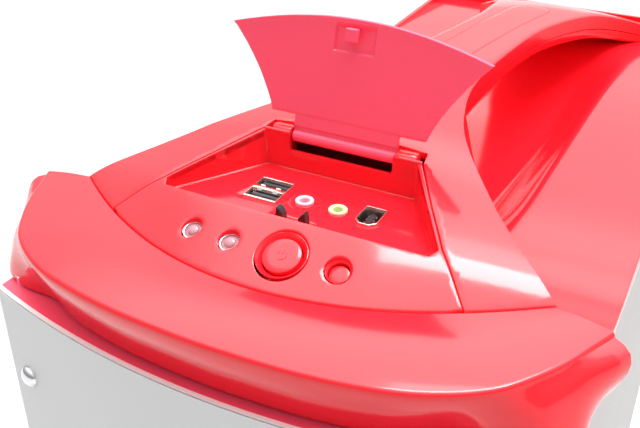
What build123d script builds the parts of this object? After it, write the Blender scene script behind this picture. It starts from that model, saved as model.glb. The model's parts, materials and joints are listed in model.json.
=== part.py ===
"""Desktop tower case with a carry handle, a flip-up port lid and a hinged front door.

All geometry is drawn from the tray datum: x = 0 on the plane of symmetry, y = 0 at the
rear wall of the port tray (+Y to the back), z = 0 at the tray's floor. save() moves it
to the row frame, whose origin is on the ground at the middle of the case.
"""
from build123d import *
import math
import os

os.makedirs("parts", exist_ok=True)

# ---------------------------------------------------------------- driving dimensions (mm)
TRAY_HEIGHT = 490.0      # port tray's floor above the ground
TRAY_BACK = 150.9        # middle of the case behind the tray's rear wall
GROUND = -TRAY_HEIGHT
FOOT_HEIGHT = 16.0
CASE_HALF = 101.5        # outer face of a side panel
SHEET = 1.0              # steel sheet
WALL = 3.0               # moulded walls
GAP = 0.3                # clearance between moulded pieces
FRONT_Y = -56.0          # steel front panel
REAR_Y = 388.0           # outer face of the rear panel
BASE_Z = GROUND + FOOT_HEIGHT
TOP_Z = -74.0            # top of the steel box
PANEL_TOP = -60.0        # upper edge of the side panels
SLOPE = math.radians(25.0)   # slope of the button band

# ---------------------------------------------------------------- helpers


def block(x, y, z):
    """Box between pairs of limits."""
    size = [high - low for low, high in (x, y, z)]
    centre = [(high + low) / 2 for low, high in (x, y, z)]
    return Pos(*centre) * Box(*size)


def slab(outline, z):
    """Plan outline raised between two heights."""
    face = make_face(Polyline(*[(px, py, z[0]) for px, py in outline], close=True))
    return extrude(face, amount=z[1] - z[0], dir=(0, 0, 1))


def sweep_x(profile, x):
    """Side profile (y, z) drawn out between two x limits."""
    face = make_face(Polyline(*[(x[0], py, pz) for py, pz in profile], close=True))
    return extrude(face, amount=x[1] - x[0], dir=(1, 0, 0))


def ruled(sections):
    """Straight-sided loft through closed 3-D outlines."""
    return loft([make_face(Polyline(*points, close=True)) for points in sections], ruled=True)


def mirrored(points):
    """Outline of the right half, from the front centre round to the rear centre, made whole."""
    return points + [(-px, py) for px, py in reversed(points) if px > 0]


def rod(centre, radius, length, axis="Z"):
    """Cylinder centred on a point."""
    turn = {"X": Rot(0, 90, 0), "Y": Rot(90, 0, 0), "Z": Rot(0, 0, 0)}[axis]
    return Pos(*centre) * turn * Cylinder(radius, length)


def both_sides(shape):
    """A shape and its mirror image in the plane of symmetry."""
    return [shape, mirror(shape, about=Plane.YZ)]


def save(shape, node):
    """Write a node, moved to the row frame. A list becomes a group of solids."""
    solids = shape if isinstance(shape, list) else [shape]
    solids = [solid for item in solids for solid in item.solids()]
    moved = [Pos(0, -TRAY_BACK, TRAY_HEIGHT) * solid for solid in solids]
    export_step(moved[0] if len(moved) == 1 else Compound(children=moved), f"parts/{node}.step")


# ---------------------------------------------------------------- shared curves


def seam_y(x):
    """Plan of the seam between the crown and the console and flanks."""
    t = x / 100
    return -67.2 + 46.6 * t ** 2 - 2.3 * t ** 4


def tray_front_y(x):
    """Plan of the tray's curved front wall."""
    return -41.8 + 19.8 * (x / 100) ** 2


def plate_y(x, offset=0.0):
    """Plan of the door plate's outer face."""
    return -92.5 + 16.0 * (x / 100) ** 2 + offset


SEAM_X = (0, 22, 44, 64.4)   # plan stations of the console's front seam
TRAY_RIM = [(0, tray_front_y(0)), (25, tray_front_y(25)), (46, tray_front_y(46)), (50.8, -33.6),
            (39.2, -17.0), (29.7, 0)]
CONSOLE_HALF = [(x, seam_y(x) + GAP) for x in SEAM_X] + [(51.8, -33.2), (40.6, -16.6), (31.0, 0.8)]
LIP = [(0, -95), (40, -92.5), (62, -89), (77, -84), (86, -76), (93, -62), (101, -48), (106, -36)]
SEAM = [(88, seam_y(88)), (76, seam_y(76))] + [(x, seam_y(x)) for x in reversed(SEAM_X)]


def grown(outline, amount):
    """Plan outline with every edge moved outwards by an amount."""
    count = len(outline)
    area = sum(outline[i - 1][0] * outline[i][1] - outline[i][0] * outline[i - 1][1] for i in range(count))
    turn = 1 if area > 0 else -1
    moved = []
    for i in range(count):
        (ax, ay), (bx, by), (cx, cy) = outline[i - 1], outline[i], outline[(i + 1) % count]
        n1 = Vector(by - ay, ax - bx).normalized() * turn
        n2 = Vector(cy - by, bx - cx).normalized() * turn
        mitre = (n1 + n2) / (1 + n1.dot(n2))
        moved.append((bx + amount * mitre.X, by + amount * mitre.Y))
    return moved


# ---------------------------------------------------------------- console: tray, rim and button band

TOP_PROFILE = [(seam_y(0), -4.3), (-41.8, 7.6), (1.2, 14.2)]   # (y, z) along the centre
BUTTONS = {"power": (6.9, -54.2), "reset": (25.8, -52.7)}
LEDS = [(-27.9, -52.4), (-12.6, -54.0)]
POWER_R, RESET_R, LED_R = 6.4, 3.4, 3.2
RING_R = 8.6
BUTTON_TRAVEL = 1.5
HINGE_Y, HINGE_Z = 4.0, 12.0
HINGE_PIN_R = 1.0
LUG_X = (20.6, 28.5)
WINDOW_X, WINDOW_Z = 20.2, 7.2  # window above the tray's rear wall
POST_X = (-20.3, 18.6)
BAND_MID_Y = -53.6
SHELF_DEPTH = 16.9       # button board below the band's surface
SWITCH_H = 4.0
USB_CENTRE, USB_X, USB_Y = (-18.6, -17.7), 6.65, 7.75
JACKS = [(-3.9, -18.8), (9.1, -19.0)]
JACK_R, JACK_BORE, JACK_DEPTH, JACK_RIM = 3.3, 1.8, 14.0, 0.6
SIX_CENTRE, SIX_X, SIX_Y = (20.9, -18.2), 4.2, 6.0
LATCH_CENTRE, LATCH_X, LATCH_Y = (-0.6, -33.6), 7.6, 2.6
IO_SCREWS = [(-34, -17), (34, -17)]
BOARD_Z = -8.0           # upper face of the port board
BOARD_T = 1.6


def band_z(y):
    """Height of the button band's surface on its slope."""
    return 7.6 + (y + 41.8) * math.tan(SLOPE)


def on_band(x, y, depth=0.0):
    """Placement on the button band, local Z out of the surface."""
    place = Pos(x, y, band_z(y)) * Rot(math.degrees(SLOPE), 0, 0)
    return place * Pos(0, 0, -depth)


def upright(outline, profile):
    """Solid under a side profile inside a plan outline."""
    low = -40.0
    side = [(profile[0][0] - 20, low)]
    first, second = profile[0], profile[1]
    rise = (second[1] - first[1]) / (second[0] - first[0])
    side.append((first[0] - 20, first[1] - 20 * rise))
    side += profile[1:]
    side.append((profile[-1][0], low))
    return slab(outline, (low, 40)) & sweep_x(side, (-120, 120))


def make_console():
    """Tub with the port tray, rim and button band, open underneath."""
    outline = mirrored(CONSOLE_HALF)
    lowered = [(y, z - WALL) for y, z in TOP_PROFILE]
    skin = upright(outline, TOP_PROFILE) - upright(outline, lowered)
    skirt = upright(outline, TOP_PROFILE) - slab(grown(outline, -2.0), (-60, 60))
    skirt -= block((-120, 120), (-90, 20), (-60, -9))
    rim = mirrored(TRAY_RIM)
    hollow = slab(rim, (0, 60))
    tub = slab(grown(rim, 2.2), (-2, 40)) & upright(outline, TOP_PROFILE)
    body = (skin + skirt + tub) - hollow
    body -= block((-WINDOW_X, WINDOW_X), (-0.5, 9), (WINDOW_Z, 40))
    body -= block((-USB_X, USB_X), (-USB_Y, USB_Y), (-9, 9)).moved(Pos(*USB_CENTRE, 0))
    for centre in JACKS:
        body -= rod((*centre, 0), JACK_R + 0.1, 20)
    body -= block((-SIX_X, SIX_X), (-SIX_Y, SIX_Y), (-9, 9)).moved(Pos(*SIX_CENTRE, 0))
    body -= block((-LATCH_X, LATCH_X), (-LATCH_Y, LATCH_Y), (-9, 9)).moved(Pos(*LATCH_CENTRE, 0))
    for name, radius in (("power", RING_R), ("reset", RESET_R + 1.0)):
        body -= on_band(*BUTTONS[name]) * Cylinder(radius, 30)
    for centre in LEDS:
        body -= on_band(*centre) * Cylinder(LED_R, 30)
    for centre in IO_SCREWS:
        body += rod((*centre, BOARD_Z / 2 - 1), 3.0, -BOARD_Z - 2)
        body -= rod((*centre, BOARD_Z / 2 - 1.4), 1.25, -BOARD_Z - 2)
    for x in POST_X:
        post = Cylinder(2.0, SHELF_DEPTH - WALL + 0.4)
        body += on_band(x, BAND_MID_Y, (WALL + SHELF_DEPTH) / 2 - 0.2) * post
    for lug in make_hinge_lugs():
        body += lug
    return body


def make_button_board():
    """Circuit board that carries the push switches, on the console's posts."""
    return on_band(0, BAND_MID_Y, SHELF_DEPTH + 0.05 + BOARD_T / 2) * Box(66, 12, BOARD_T)


def make_usb_shell():
    """Metal shell of the stacked pair, open upwards."""
    x, y = USB_X - 0.05, USB_Y - 0.05
    shell = block((-x, x), (-y, y), (BOARD_Z, 0.6))
    for side in (-1, 1):
        port = block((-x + 0.5, x - 0.5), (-2.55, 2.55), (BOARD_Z + 1, 2))
        shell -= port.moved(Pos(0, side * 3.9, 0))
    return shell.moved(Pos(*USB_CENTRE, 0))


def make_usb_tongues():
    """Contact tongue of each port."""
    tongue = block((-5.2, 5.2), (-0.9, 0.9), (BOARD_Z + 1, -0.6))
    return [tongue.moved(Pos(USB_CENTRE[0], USB_CENTRE[1] + side * 3.9 + 1.0, 0)) for side in (-1, 1)]


def make_jack(centre):
    """Audio jack: a barrel with its bore and a square foot."""
    body = rod((*centre, JACK_RIM - (JACK_DEPTH + 1) / 2), JACK_R, JACK_DEPTH + 1)
    foot = block((-4.5, 4.5), (-4.5, 4.5), (BOARD_Z, BOARD_Z + 4)).moved(Pos(*centre, 0))
    return body + foot - rod((*centre, JACK_RIM), JACK_BORE, 2 * JACK_DEPTH)


def six_outline(shrink):
    """Outline of the six-pin port: flat at the rear, chamfered at the front."""
    x, y = SIX_X - 0.05 - shrink, SIX_Y - 0.05 - shrink
    return [(-x, y), (x, y), (x, -y + 2.2), (x - 2.2, -y), (-x + 2.2, -y), (-x, -y + 2.2)]


def make_six_shell():
    """Metal shell of the six-pin port."""
    shell = slab(six_outline(0), (BOARD_Z, 0.7)) - slab(six_outline(0.6), (BOARD_Z + 1, 3))
    return shell.moved(Pos(*SIX_CENTRE, 0))


def make_six_insulator():
    """Contact block of the six-pin port."""
    return block((-1.2, 1.2), (-3.6, 3.6), (BOARD_Z + 1, -0.8)).moved(Pos(*SIX_CENTRE, 0))


def make_io_board():
    """Circuit board under the tray."""
    board = slab(mirrored([(0, -32), (42, -32), (30, -6), (0, -6)]), (BOARD_Z - BOARD_T, BOARD_Z))
    board -= block((-9, 8.5), (-36, -30), (-20, 0))
    for centre in JACKS:
        board -= rod((*centre, BOARD_Z), JACK_R + 0.2, 6)
    for centre in IO_SCREWS:
        board -= rod((*centre, BOARD_Z), 1.6, 6)
    return board


def make_io_screws():
    """Screws holding the board to the tub's bosses."""
    screws = []
    for centre in IO_SCREWS:
        head = rod((*centre, BOARD_Z - BOARD_T - 0.9), 2.6, 1.8)
        shank = rod((*centre, BOARD_Z + 1.0), 1.2, 5.6)
        screws.append(head + shank)
    return screws


# ---------------------------------------------------------------- touch latch in the tray

JAW_PIVOT_X, JAW_PIVOT_Z = 4.4, -4.0
JAW_PIN_R = 0.8
JAW_HALF = 1.6           # half length along the pin


def make_latch_housing():
    """Cup set in the tray's floor that carries the two jaws on pins."""
    x, y = LATCH_X - 0.05, LATCH_Y - 0.05
    cup = block((-x, x), (-y, y), (-10, 0.3))
    cup -= block((-x + 0.8, x - 0.8), (-y + 0.8, y - 0.8), (-8.8, 5))
    for side in (-1, 1):
        cup += rod((side * JAW_PIVOT_X, 0, JAW_PIVOT_Z), JAW_PIN_R, 2 * y - 0.8, "Y")
    return cup.moved(Pos(*LATCH_CENTRE, 0))


def make_jaw(side):
    """Pointed jaw turning on its pin."""
    profile = [(-1.4, -2.2), (1.2, -2.2), (1.2, 3.0), (1.4, 6.4), (0.9, 9.6), (-0.3, 8.9), (-1.6, 7.0)]
    points = [(side * (JAW_PIVOT_X + px), 0, JAW_PIVOT_Z + pz) for px, pz in profile]
    jaw = extrude(make_face(Polyline(*points, close=True)), amount=JAW_HALF, dir=(0, 1, 0), both=True)
    jaw -= rod((side * JAW_PIVOT_X, 0, JAW_PIVOT_Z), JAW_PIN_R + 0.06, 12, "Y")
    return jaw.moved(Pos(*LATCH_CENTRE, 0))


# ---------------------------------------------------------------- buttons and lamps


def make_power_ring():
    """Fixed ring round the power button."""
    ring = Cylinder(RING_R - 0.05, 5) - Cylinder(POWER_R + GAP, 8)
    return on_band(*BUTTONS["power"], 2.3) * ring


def make_button(name, radius, top):
    """Cap and plunger of a push button."""
    cap = Pos(0, 0, top - 3.0) * Cylinder(radius, 6.0)
    end = SHELF_DEPTH - SWITCH_H - BUTTON_TRAVEL - 0.2
    stem = Pos(0, 0, (top - 5.0 - end) / 2) * Cylinder(1.8, end + top - 5.0)
    return on_band(*BUTTONS[name]) * (cap + stem)


def make_reset_sleeve():
    """Guide sleeve of the reset button."""
    sleeve = Cylinder(RESET_R + 0.95, 7) - Cylinder(RESET_R - 0.9 + GAP, 12)
    return on_band(*BUTTONS["reset"], 5.2) * sleeve


def make_button_switches():
    """Push switches under the two buttons, on their shelf."""
    return [on_band(*centre, SHELF_DEPTH - SWITCH_H / 2) * Box(6, 6, SWITCH_H) for centre in BUTTONS.values()]


def make_led_lenses():
    """Clear lens set deep in each lamp hole."""
    lens = Cylinder(LED_R - 0.05, 3) + Pos(0, 0, -3) * Cylinder(1.5, 5)
    return [on_band(*centre, 3.4) * lens for centre in LEDS]


# ---------------------------------------------------------------- lid

LID_LEAN = math.radians(13.5)   # past upright when open
LID_T = 2.4
LID_LENGTH = 45.0               # hinge axis to the middle of the free edge
BARREL_R = 2.2
POCKET_X, POCKET_Y, POCKET_DEPTH = (-7.8, 7.2), (33.4, 42.4), 1.5
STRIKE_Y, STRIKE_TIP = (37.2, 42.0), 4.6


def lid_frame():
    """Placement of the open lid: local X across, local Y from the hinge to the free edge."""
    return Pos(0, HINGE_Y, HINGE_Z) * Rot(90 - math.degrees(LID_LEAN), 0, 0)


def make_lid():
    """Fan-shaped lid with its hinge barrel and the pocket that clears the jaws' tips."""
    half = [(WINDOW_X, 7.9), (30.0, 7.9), (32.4, 14), (36.8, 22), (42.6, 30), (49.2, 37.4)]
    half += [(37, 40.7), (25, 43.1), (12, 44.6)]
    outline = half + [(0, LID_LENGTH)] + [(-px, py) for px, py in reversed(half)]
    plate = slab(outline, (-LID_T / 2, LID_T / 2))
    tongue = block((-WINDOW_X, WINDOW_X), (0, 9), (-LID_T / 2, LID_T / 2))
    barrel = rod((0, 0, 0), BARREL_R, 2 * WINDOW_X, "X")
    pocket = block(POCKET_X, POCKET_Y, (LID_T / 2 - POCKET_DEPTH, 5))
    lid = plate + tongue + barrel - pocket - rod((0, 0, 0), HINGE_PIN_R + 0.06, 60, "X")
    return lid_frame() * lid


def make_lid_strike():
    """Strike in the lid's pocket that the jaws grip."""
    base = LID_T / 2 - POCKET_DEPTH
    x = LATCH_CENTRE[0]
    strike = block((x - 1.6, x + 1.6), STRIKE_Y, (base, 3.0))
    strike += block((x - 2.3, x + 2.3), STRIKE_Y, (2.6, STRIKE_TIP))
    return lid_frame() * strike


def make_hinge_lugs():
    """Lugs on the console that hold the hinge pin."""
    lug = rod((sum(LUG_X) / 2, HINGE_Y, HINGE_Z), 3.4, LUG_X[1] - LUG_X[0], "X")
    foot = block(LUG_X, (0.1, HINGE_Y + 3.4), (HINGE_Z - 7, HINGE_Z))
    return both_sides(lug + foot - rod((0, HINGE_Y, HINGE_Z), HINGE_PIN_R, 80, "X"))


# ---------------------------------------------------------------- crown and front bezel

DOOR_TOP, DOOR_BOTTOM = -30.0, GROUND + 26.0
DOOR_HALF = 96.0
DOOR_BACK = -66.0
DOOR_AXIS = (-90.5, -71.5)
DOOR_BARREL_R = 5.0
DOOR_PIN_R = 1.5
PLATE_T = 2.0
BEZEL_BACK = -37.0


def crown_section(z, front, side):
    """Plan of the crown at one height, its front and sides moved outwards."""
    half = [(px + side * (px / 106) ** 2, py - front * (1 - (px / 106) ** 2)) for px, py in LIP]
    half = [(0, half[0][1])] + half[1:] + SEAM[:-1]
    centre_rear = (0, seam_y(0))
    right = half + [centre_rear]
    return [(px, py, z) for px, py in mirrored(right)]


def plate_outline(half, front, back):
    """Plan of a curved panel between two distances behind the plate's outer face."""
    xs = [half * step / 6 for step in range(-6, 7)]
    near = [(x, plate_y(x, front)) for x in xs]
    return near + [(x, plate_y(x, back)) for x in reversed(xs)]


def make_bezel():
    """Moulded front: crown with its overhanging lip, cheeks, sill and bay window."""
    crown = ruled([crown_section(-21, -0.5, 3.0), crown_section(-13, 0.5, 5.0), crown_section(-5, 0, 0)])
    inner = ruled([crown_section(-22, -3.5, -0.5), crown_section(-8, -3.0, -3.0)])
    crown -= inner & block((-120, 120), (-120, 20), (-30, -8))
    crown += slab(plate_outline(93, 9.5, 12.5), (DOOR_TOP + 1.0, -8))
    shell = block((-104, 104), (-62.5, BEZEL_BACK), (GROUND + 12, -14))
    shell -= block((-101, 101), (-59.5, BEZEL_BACK + 5), (GROUND + 15, -5))
    shell -= block((-76, 76), (-70, -50), (GROUND + 40, -50))
    under_crown = [(0, -95), (60, -92), (104, -62.5), (104, -44)] + [(x, seam_y(x)) for x in (88, 60, 0)]
    shell -= block((-130, 130), (-90, 10), (-30, 10)) - slab(mirrored(under_crown), (-30, 10))
    sill = [(x, plate_y(x, 1.0)) for x in range(-100, 101, 25)] + [(100, -59), (-100, -59)]
    shell += slab(sill, (GROUND + 12, DOOR_BOTTOM - 1.0))
    shell -= rod((*DOOR_AXIS, (DOOR_TOP + DOOR_BOTTOM) / 2), 9.2, DOOR_TOP - DOOR_BOTTOM + 1.0)
    bezel = crown + shell
    for z in (DOOR_TOP + 3, DOOR_BOTTOM - 3):
        bezel -= rod((*DOOR_AXIS, z), DOOR_PIN_R, 12)
    return bezel


def make_door_frame():
    """Moulded door behind the plate, hollow at the back, with its hinge barrel."""
    xs = [DOOR_HALF * step / 6 for step in range(-6, 7)]
    outer = [(x, plate_y(x, PLATE_T)) for x in xs] + [(DOOR_HALF, DOOR_BACK), (-DOOR_HALF + 5.5, DOOR_BACK)]
    inner = [(x * 0.97, plate_y(x * 0.97, PLATE_T + 2.5)) for x in xs]
    inner = [point for point in inner if point[0] > -84] + [(DOOR_HALF * 0.97, -60), (-83, -60)]
    frame = slab(outer, (DOOR_BOTTOM, DOOR_TOP))
    frame -= slab(inner, (DOOR_BOTTOM + 3, DOOR_TOP - 3))
    axis_mid = (DOOR_TOP + DOOR_BOTTOM) / 2
    frame += rod((*DOOR_AXIS, axis_mid), DOOR_BARREL_R, DOOR_TOP - DOOR_BOTTOM)
    return frame - rod((*DOOR_AXIS, axis_mid), DOOR_PIN_R + 0.06, 600)


def make_door_plate():
    """Curved metal plate on the door, with its screw holes."""
    plate = slab(plate_outline(DOOR_HALF, 0, PLATE_T), (DOOR_BOTTOM, DOOR_TOP))
    for screw in make_door_screws():
        plate -= screw
    return plate


def make_door_screws():
    """Domed screws at the plate's corners."""
    screws = []
    for x in (-85.0, 85.0):
        for z in (-64.0, DOOR_BOTTOM + 34.0):
            dome = Sphere(4.2) & block((-5, 5), (-5.5, -1.4), (-5, 5))
            screws.append(dome.moved(Pos(x, plate_y(x) + 2.25, z)))
    return screws


def make_door_pins():
    """Upper and lower pivot pins, fixed in the bezel."""
    return [rod((*DOOR_AXIS, z), DOOR_PIN_R, 8) for z in (DOOR_TOP - 0.4, DOOR_BOTTOM + 0.4)]


# ---------------------------------------------------------------- top cover and carry handle

# Half sections of the cover: (x, z) from the centre to the outer edge, at each y.
COVER = {
    -33.0: [(0, 8), (50, 5.5), (88, -4.5), (94, -5), (100, -5.5), (104, -6)],
    0.0: [(0, 16), (30, 14.5), (54, 10.7), (70, -6), (88, -16), (103, -18)],
    30.0: [(0, 15.5), (20, 15), (37, 12), (52, -14), (75, -29), (102, -34)],
    50.0: [(0, 14.5), (18, 14), (29, 10.5), (45, -24), (72, -38), (CASE_HALF, -40)],
    80.0: [(0, -38), (14, -38), (26, -42), (44, -50), (70, -42), (CASE_HALF, -41)],
    120.0: [(0, -66), (16, -66), (30, -66), (44, -60), (66, -46), (CASE_HALF, -42)],
    240.0: [(0, -70), (16, -70), (30, -69), (44, -62), (66, -49), (CASE_HALF, -45)],
    290.0: [(0, -62), (16, -62), (30, -61), (44, -56), (66, -50), (CASE_HALF, -48)],
    325.0: [(0, -40), (16, -40), (30, -41.5), (44, -46), (66, -49.5), (CASE_HALF, -49.5)],
    390.0: [(0, -50), (16, -50), (30, -50.5), (44, -51.5), (66, -53), (CASE_HALF, -53)],
}
# Handle: half width, top and underside at each y.
HANDLE = {36.0: (22, 15.3, 1.0), 60.0: (18, 14, 0.5), 138.0: (17.5, 7, -6), 180.0: (18, 2.5, -10.5),
          222.0: (21, -3.5, -17), 256.0: (24, -9, -23.5), 289.0: (27, -20, -34), 326.0: (33, -38, -50)}
SPLIT = 0.5     # parting line, as a share of the handle's height
FLANK_Y = seam_y(88) + GAP + 0.1   # front of the cover at the case's edges
PAD_FRONT, PAD_REAR = 62.0, 262.0
PAD_T = 1.2


def cover_section(y, half):
    """Closed section of the cover's shell."""
    right = list(half)
    left = [(-x, z) for x, z in reversed(half[1:])]
    outer = left + right
    edge_x, edge_z = half[-1]
    skirt = PANEL_TOP
    inner = [(x * (edge_x - WALL) / edge_x, z - WALL) for x, z in outer]
    loop = [(-edge_x, skirt)] + outer + [(edge_x, skirt), (edge_x - WALL, skirt)]
    loop += list(reversed(inner)) + [(-edge_x + WALL, skirt)]
    return [(x, y, z) for x, z in loop]


def handle_section(y, low_share, high_share):
    """Section of the handle between two shares of its height."""
    half, top, bottom = HANDLE[y]
    crown = 3.0

    def level(share):
        return bottom + (top - crown - bottom) * share

    low, high = level(low_share), level(high_share)
    tuck = 2.0 * (1 - low_share)
    loop = [(-half + tuck, low), (-half, high)]
    if high_share == 1.0:
        loop += [(-half * 0.6, top - 0.8), (0, top), (half * 0.6, top - 0.8)]
    loop += [(half, high), (half - tuck, low)]
    return [(x, y, z) for x, z in loop]


def make_top_cover():
    """Deck, flanks and the handle's upper half, in one moulding."""
    sections = [cover_section(y, half) for y, half in COVER.items()]
    cover = ruled(sections)
    handle = ruled([handle_section(y, SPLIT, 1.0) for y in HANDLE])
    cover = cover + handle - block((-130, 130), (-90, FLANK_Y), (-80, 60))
    for side in (1, -1):
        seam = [(64.9, seam_y(64.4) + GAP + 0.2), (76, seam_y(76) + GAP + 0.1)]
        plan = [(side * x, y) for x, y in [(52.0, FLANK_Y)] + seam + [(87.6, FLANK_Y)]]
        plan = plan if side == 1 else list(reversed(plan))
        slope = upright(plan, [(seam_y(0), -6.5), (FLANK_Y, 3.0), (-20, 6.0)])
        cover += slope - block((-120, 120), (-90, 20), (-60, -9))
    cover -= slab(grown(mirrored(CONSOLE_HALF), GAP), (-60, 60))
    cover -= block((-32, 32), (0, 9.0), (4.0, 40))
    pad = [(0, PAD_FRONT), (9.0, PAD_FRONT), (11.5, PAD_REAR - 8), (7, PAD_REAR), (0, PAD_REAR)]
    return cover - (slab(mirrored(pad), (-60, 60)) & pad_space())


def pad_space():
    """Thin layer just under the handle's crown."""
    ys = [y for y in HANDLE if PAD_FRONT - 5 <= y <= 300]
    line = [(PAD_FRONT - 5, 14.2)] + [(y, HANDLE[y][1]) for y in ys if y > PAD_FRONT]
    upper = [(y, z + 2) for y, z in line]
    lower = [(y, z - PAD_T - GAP) for y, z in reversed(line)]
    return sweep_x(upper + lower, (-13, 13))


def make_handle_pad():
    """Grip pad let into the top of the handle."""
    plan = mirrored([(0, PAD_FRONT + GAP), (8.7, PAD_FRONT + GAP), (11.2, PAD_REAR - 8),
                     (6.8, PAD_REAR - GAP), (0, PAD_REAR - GAP)])
    layer = pad_space()
    ys = [y for y in HANDLE if y > PAD_FRONT and y <= 300]
    line = [(PAD_FRONT - 6, 14.0)] + [(y, HANDLE[y][1] - 0.3) for y in ys]
    ceiling = sweep_x(line + [(ys[-1], -80), (PAD_FRONT - 6, -80)], (-13, 13))
    return slab(plan, (-60, 60)) & layer & ceiling


def make_handle_lower():
    """Lower half of the handle, closing it from below."""
    stations = [y for y in HANDLE if 36 < y < 326]
    return ruled([handle_section(y, 0.0, SPLIT) for y in stations])


# ---------------------------------------------------------------- steel case

FEET = [(-80, -12), (80, -12), (-80, 350), (80, 350)]
PSU_HEIGHT, PSU_DEPTH = 86.0, 140.0
BOARD_BOTTOM = BASE_Z + 8.0
BOARD_HEIGHT, BOARD_DEPTH = 304.8, 243.8
TRAY_X = 88.0
BOARD_X = TRAY_X - 6.4 - 1.6
BOARD_HOLES_Y = (10.16, 165.1, 237.49)   # from the rear panel
BOARD_HOLES_Z = (16.51, 173.99, 298.45)  # from the board's top edge
BOARD_HOLE_R = 1.75
SLOT_PITCH = 20.32
FAN_HOLE = 105.0
FAN_T = 25.0
PSU_Z = (TOP_Z - SHEET - 1.0 - PSU_HEIGHT, TOP_Z - SHEET - 1.0)
PSU_X = (-66.0, 84.0)
IO_Z = (BOARD_BOTTOM + BOARD_HEIGHT - 166.0, BOARD_BOTTOM + BOARD_HEIGHT - 7.2)
IO_X = (BOARD_X - 41.0, BOARD_X + 3.4)
SLOT_Z = [BOARD_BOTTOM + 12.0 + SLOT_PITCH * step for step in range(7)]
REAR_FAN = (-34.0, BOARD_BOTTOM + BOARD_HEIGHT - 76.0)
FRONT_FAN = (0.0, BASE_Z + 75.0)
HALF_IN = CASE_HALF - SHEET - GAP
PSU_FAN_X = PSU_X[0] + 50.0
PSU_BACK = REAR_Y - SHEET - 0.1
PSU_MID_Z = (PSU_Z[0] + PSU_Z[1]) / 2
THUMB_X = 92.0
THUMB_Z = (BASE_Z + 70.0, TOP_Z - 60.0)
FAN_FRAME, FAN_BORE_R, FAN_SCREW_R = 120.0, 58.0, 2.2
BAY_PITCH, BAY_COUNT = 42.0, 4
BAY_Z1 = TOP_Z - 20.0
BAY_Z0 = BAY_Z1 - BAY_COUNT * BAY_PITCH - 28.0
RAIL_X = (74.7, 75.7)    # side rails of the wide bays
CAGE_X = 52.5            # outer half width of the hard drive cage
DRIVE_HOLE_R = 1.8
COVER_X, COVER_Y = 74.2, (-62.0, -57.0)


def fan_holes(centre, y, length=8):
    """Four fan screw holes along the depth."""
    reach = FAN_HOLE / 2
    corners = [(sx * reach, sz * reach) for sx in (-1, 1) for sz in (-1, 1)]
    return [rod((centre[0] + dx, y, centre[1] + dz), FAN_SCREW_R, length, "Y") for dx, dz in corners]


def make_base_pan():
    """Bottom sheet with turned-up edges."""
    pan = block((-HALF_IN, HALF_IN), (FRONT_Y, REAR_Y), (BASE_Z, BASE_Z + SHEET))
    for side in (-1, 1):
        x = sorted((side * HALF_IN, side * (HALF_IN - SHEET)))
        pan += block(x, (FRONT_Y + SHEET, REAR_Y - SHEET), (BASE_Z, BASE_Z + 12))
    for x, y in FEET:
        pan -= rod((x, y, BASE_Z), 2.1, 6)
    return pan


def make_top_sheet():
    """Top sheet with turned-down edges."""
    sheet = block((-HALF_IN, HALF_IN), (FRONT_Y, REAR_Y), (TOP_Z - SHEET, TOP_Z))
    for side in (-1, 1):
        x = sorted((side * HALF_IN, side * (HALF_IN - SHEET)))
        sheet += block(x, (FRONT_Y + 1, REAR_Y - 1), (TOP_Z - 12, TOP_Z))
    return sheet


def make_rear_panel():
    """Rear sheet with its supply, connector, slot and fan apertures."""
    panel = block((-HALF_IN, HALF_IN), (REAR_Y - SHEET, REAR_Y), (BASE_Z + SHEET, TOP_Z - SHEET))
    panel -= block((PSU_X[0] + 8, PSU_X[1] - 8), (380, 395), (PSU_Z[0] + 5, PSU_Z[1] - 5))
    panel -= block(IO_X, (380, 395), IO_Z)
    for z in SLOT_Z:
        panel -= block((BOARD_X - 100, BOARD_X + 4), (380, 395), (z - 6.5, z + 6.5))
    panel -= rod((REAR_FAN[0], REAR_Y, REAR_FAN[1]), 56, 10, "Y")
    for hole in fan_holes(REAR_FAN, REAR_Y):
        panel -= hole
    for side in (-1, 1):
        for z in THUMB_Z:
            panel -= rod((side * THUMB_X, REAR_Y, z), 2.0, 8, "Y")
    return panel


def make_front_sheet():
    """Front sheet with the bay window and the intake."""
    sheet = block((-HALF_IN, HALF_IN), (FRONT_Y, FRONT_Y + SHEET), (BASE_Z + SHEET, TOP_Z - SHEET))
    sheet -= block((-74.6, 74.6), (-60, -50), (BAY_Z0, TOP_Z - 20))
    sheet -= rod((FRONT_FAN[0], FRONT_Y, FRONT_FAN[1]), 56, 10, "Y")
    for hole in fan_holes(FRONT_FAN, FRONT_Y):
        sheet -= hole
    return sheet


def make_optical_cage():
    """Cage of the wide bays, with its screw holes."""
    depth = (FRONT_Y + SHEET, FRONT_Y + 150)
    cage = block((-RAIL_X[1], RAIL_X[1]), depth, (BAY_Z0 - SHEET, BAY_Z1 + SHEET))
    cage -= block((-RAIL_X[0], RAIL_X[0]), (-80, 200), (BAY_Z0, BAY_Z1))
    for step in range(BAY_COUNT):
        for y in (FRONT_Y + 55, FRONT_Y + 134):
            cage -= rod((0, y, BAY_Z1 - BAY_PITCH * (step + 0.5)), DRIVE_HOLE_R, 2 * CASE_HALF, "X")
    return cage


def make_drive_cage():
    """Cage for the hard drives behind the intake fan."""
    y = (FRONT_Y + 34, FRONT_Y + 180)
    z = (BASE_Z + SHEET, BAY_Z0 - SHEET)
    cage = block((-CAGE_X, CAGE_X), y, z)
    cage -= block((-CAGE_X + SHEET, CAGE_X - SHEET), (y[0] - 5, y[1] + 5), (z[0] + SHEET, z[1] - SHEET))
    for step in range(4):
        for dy in (30, 90):
            cage -= rod((0, y[0] + dy, z[0] + 25 + 30 * step), DRIVE_HOLE_R, 2 * CASE_HALF, "X")
    return cage


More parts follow.
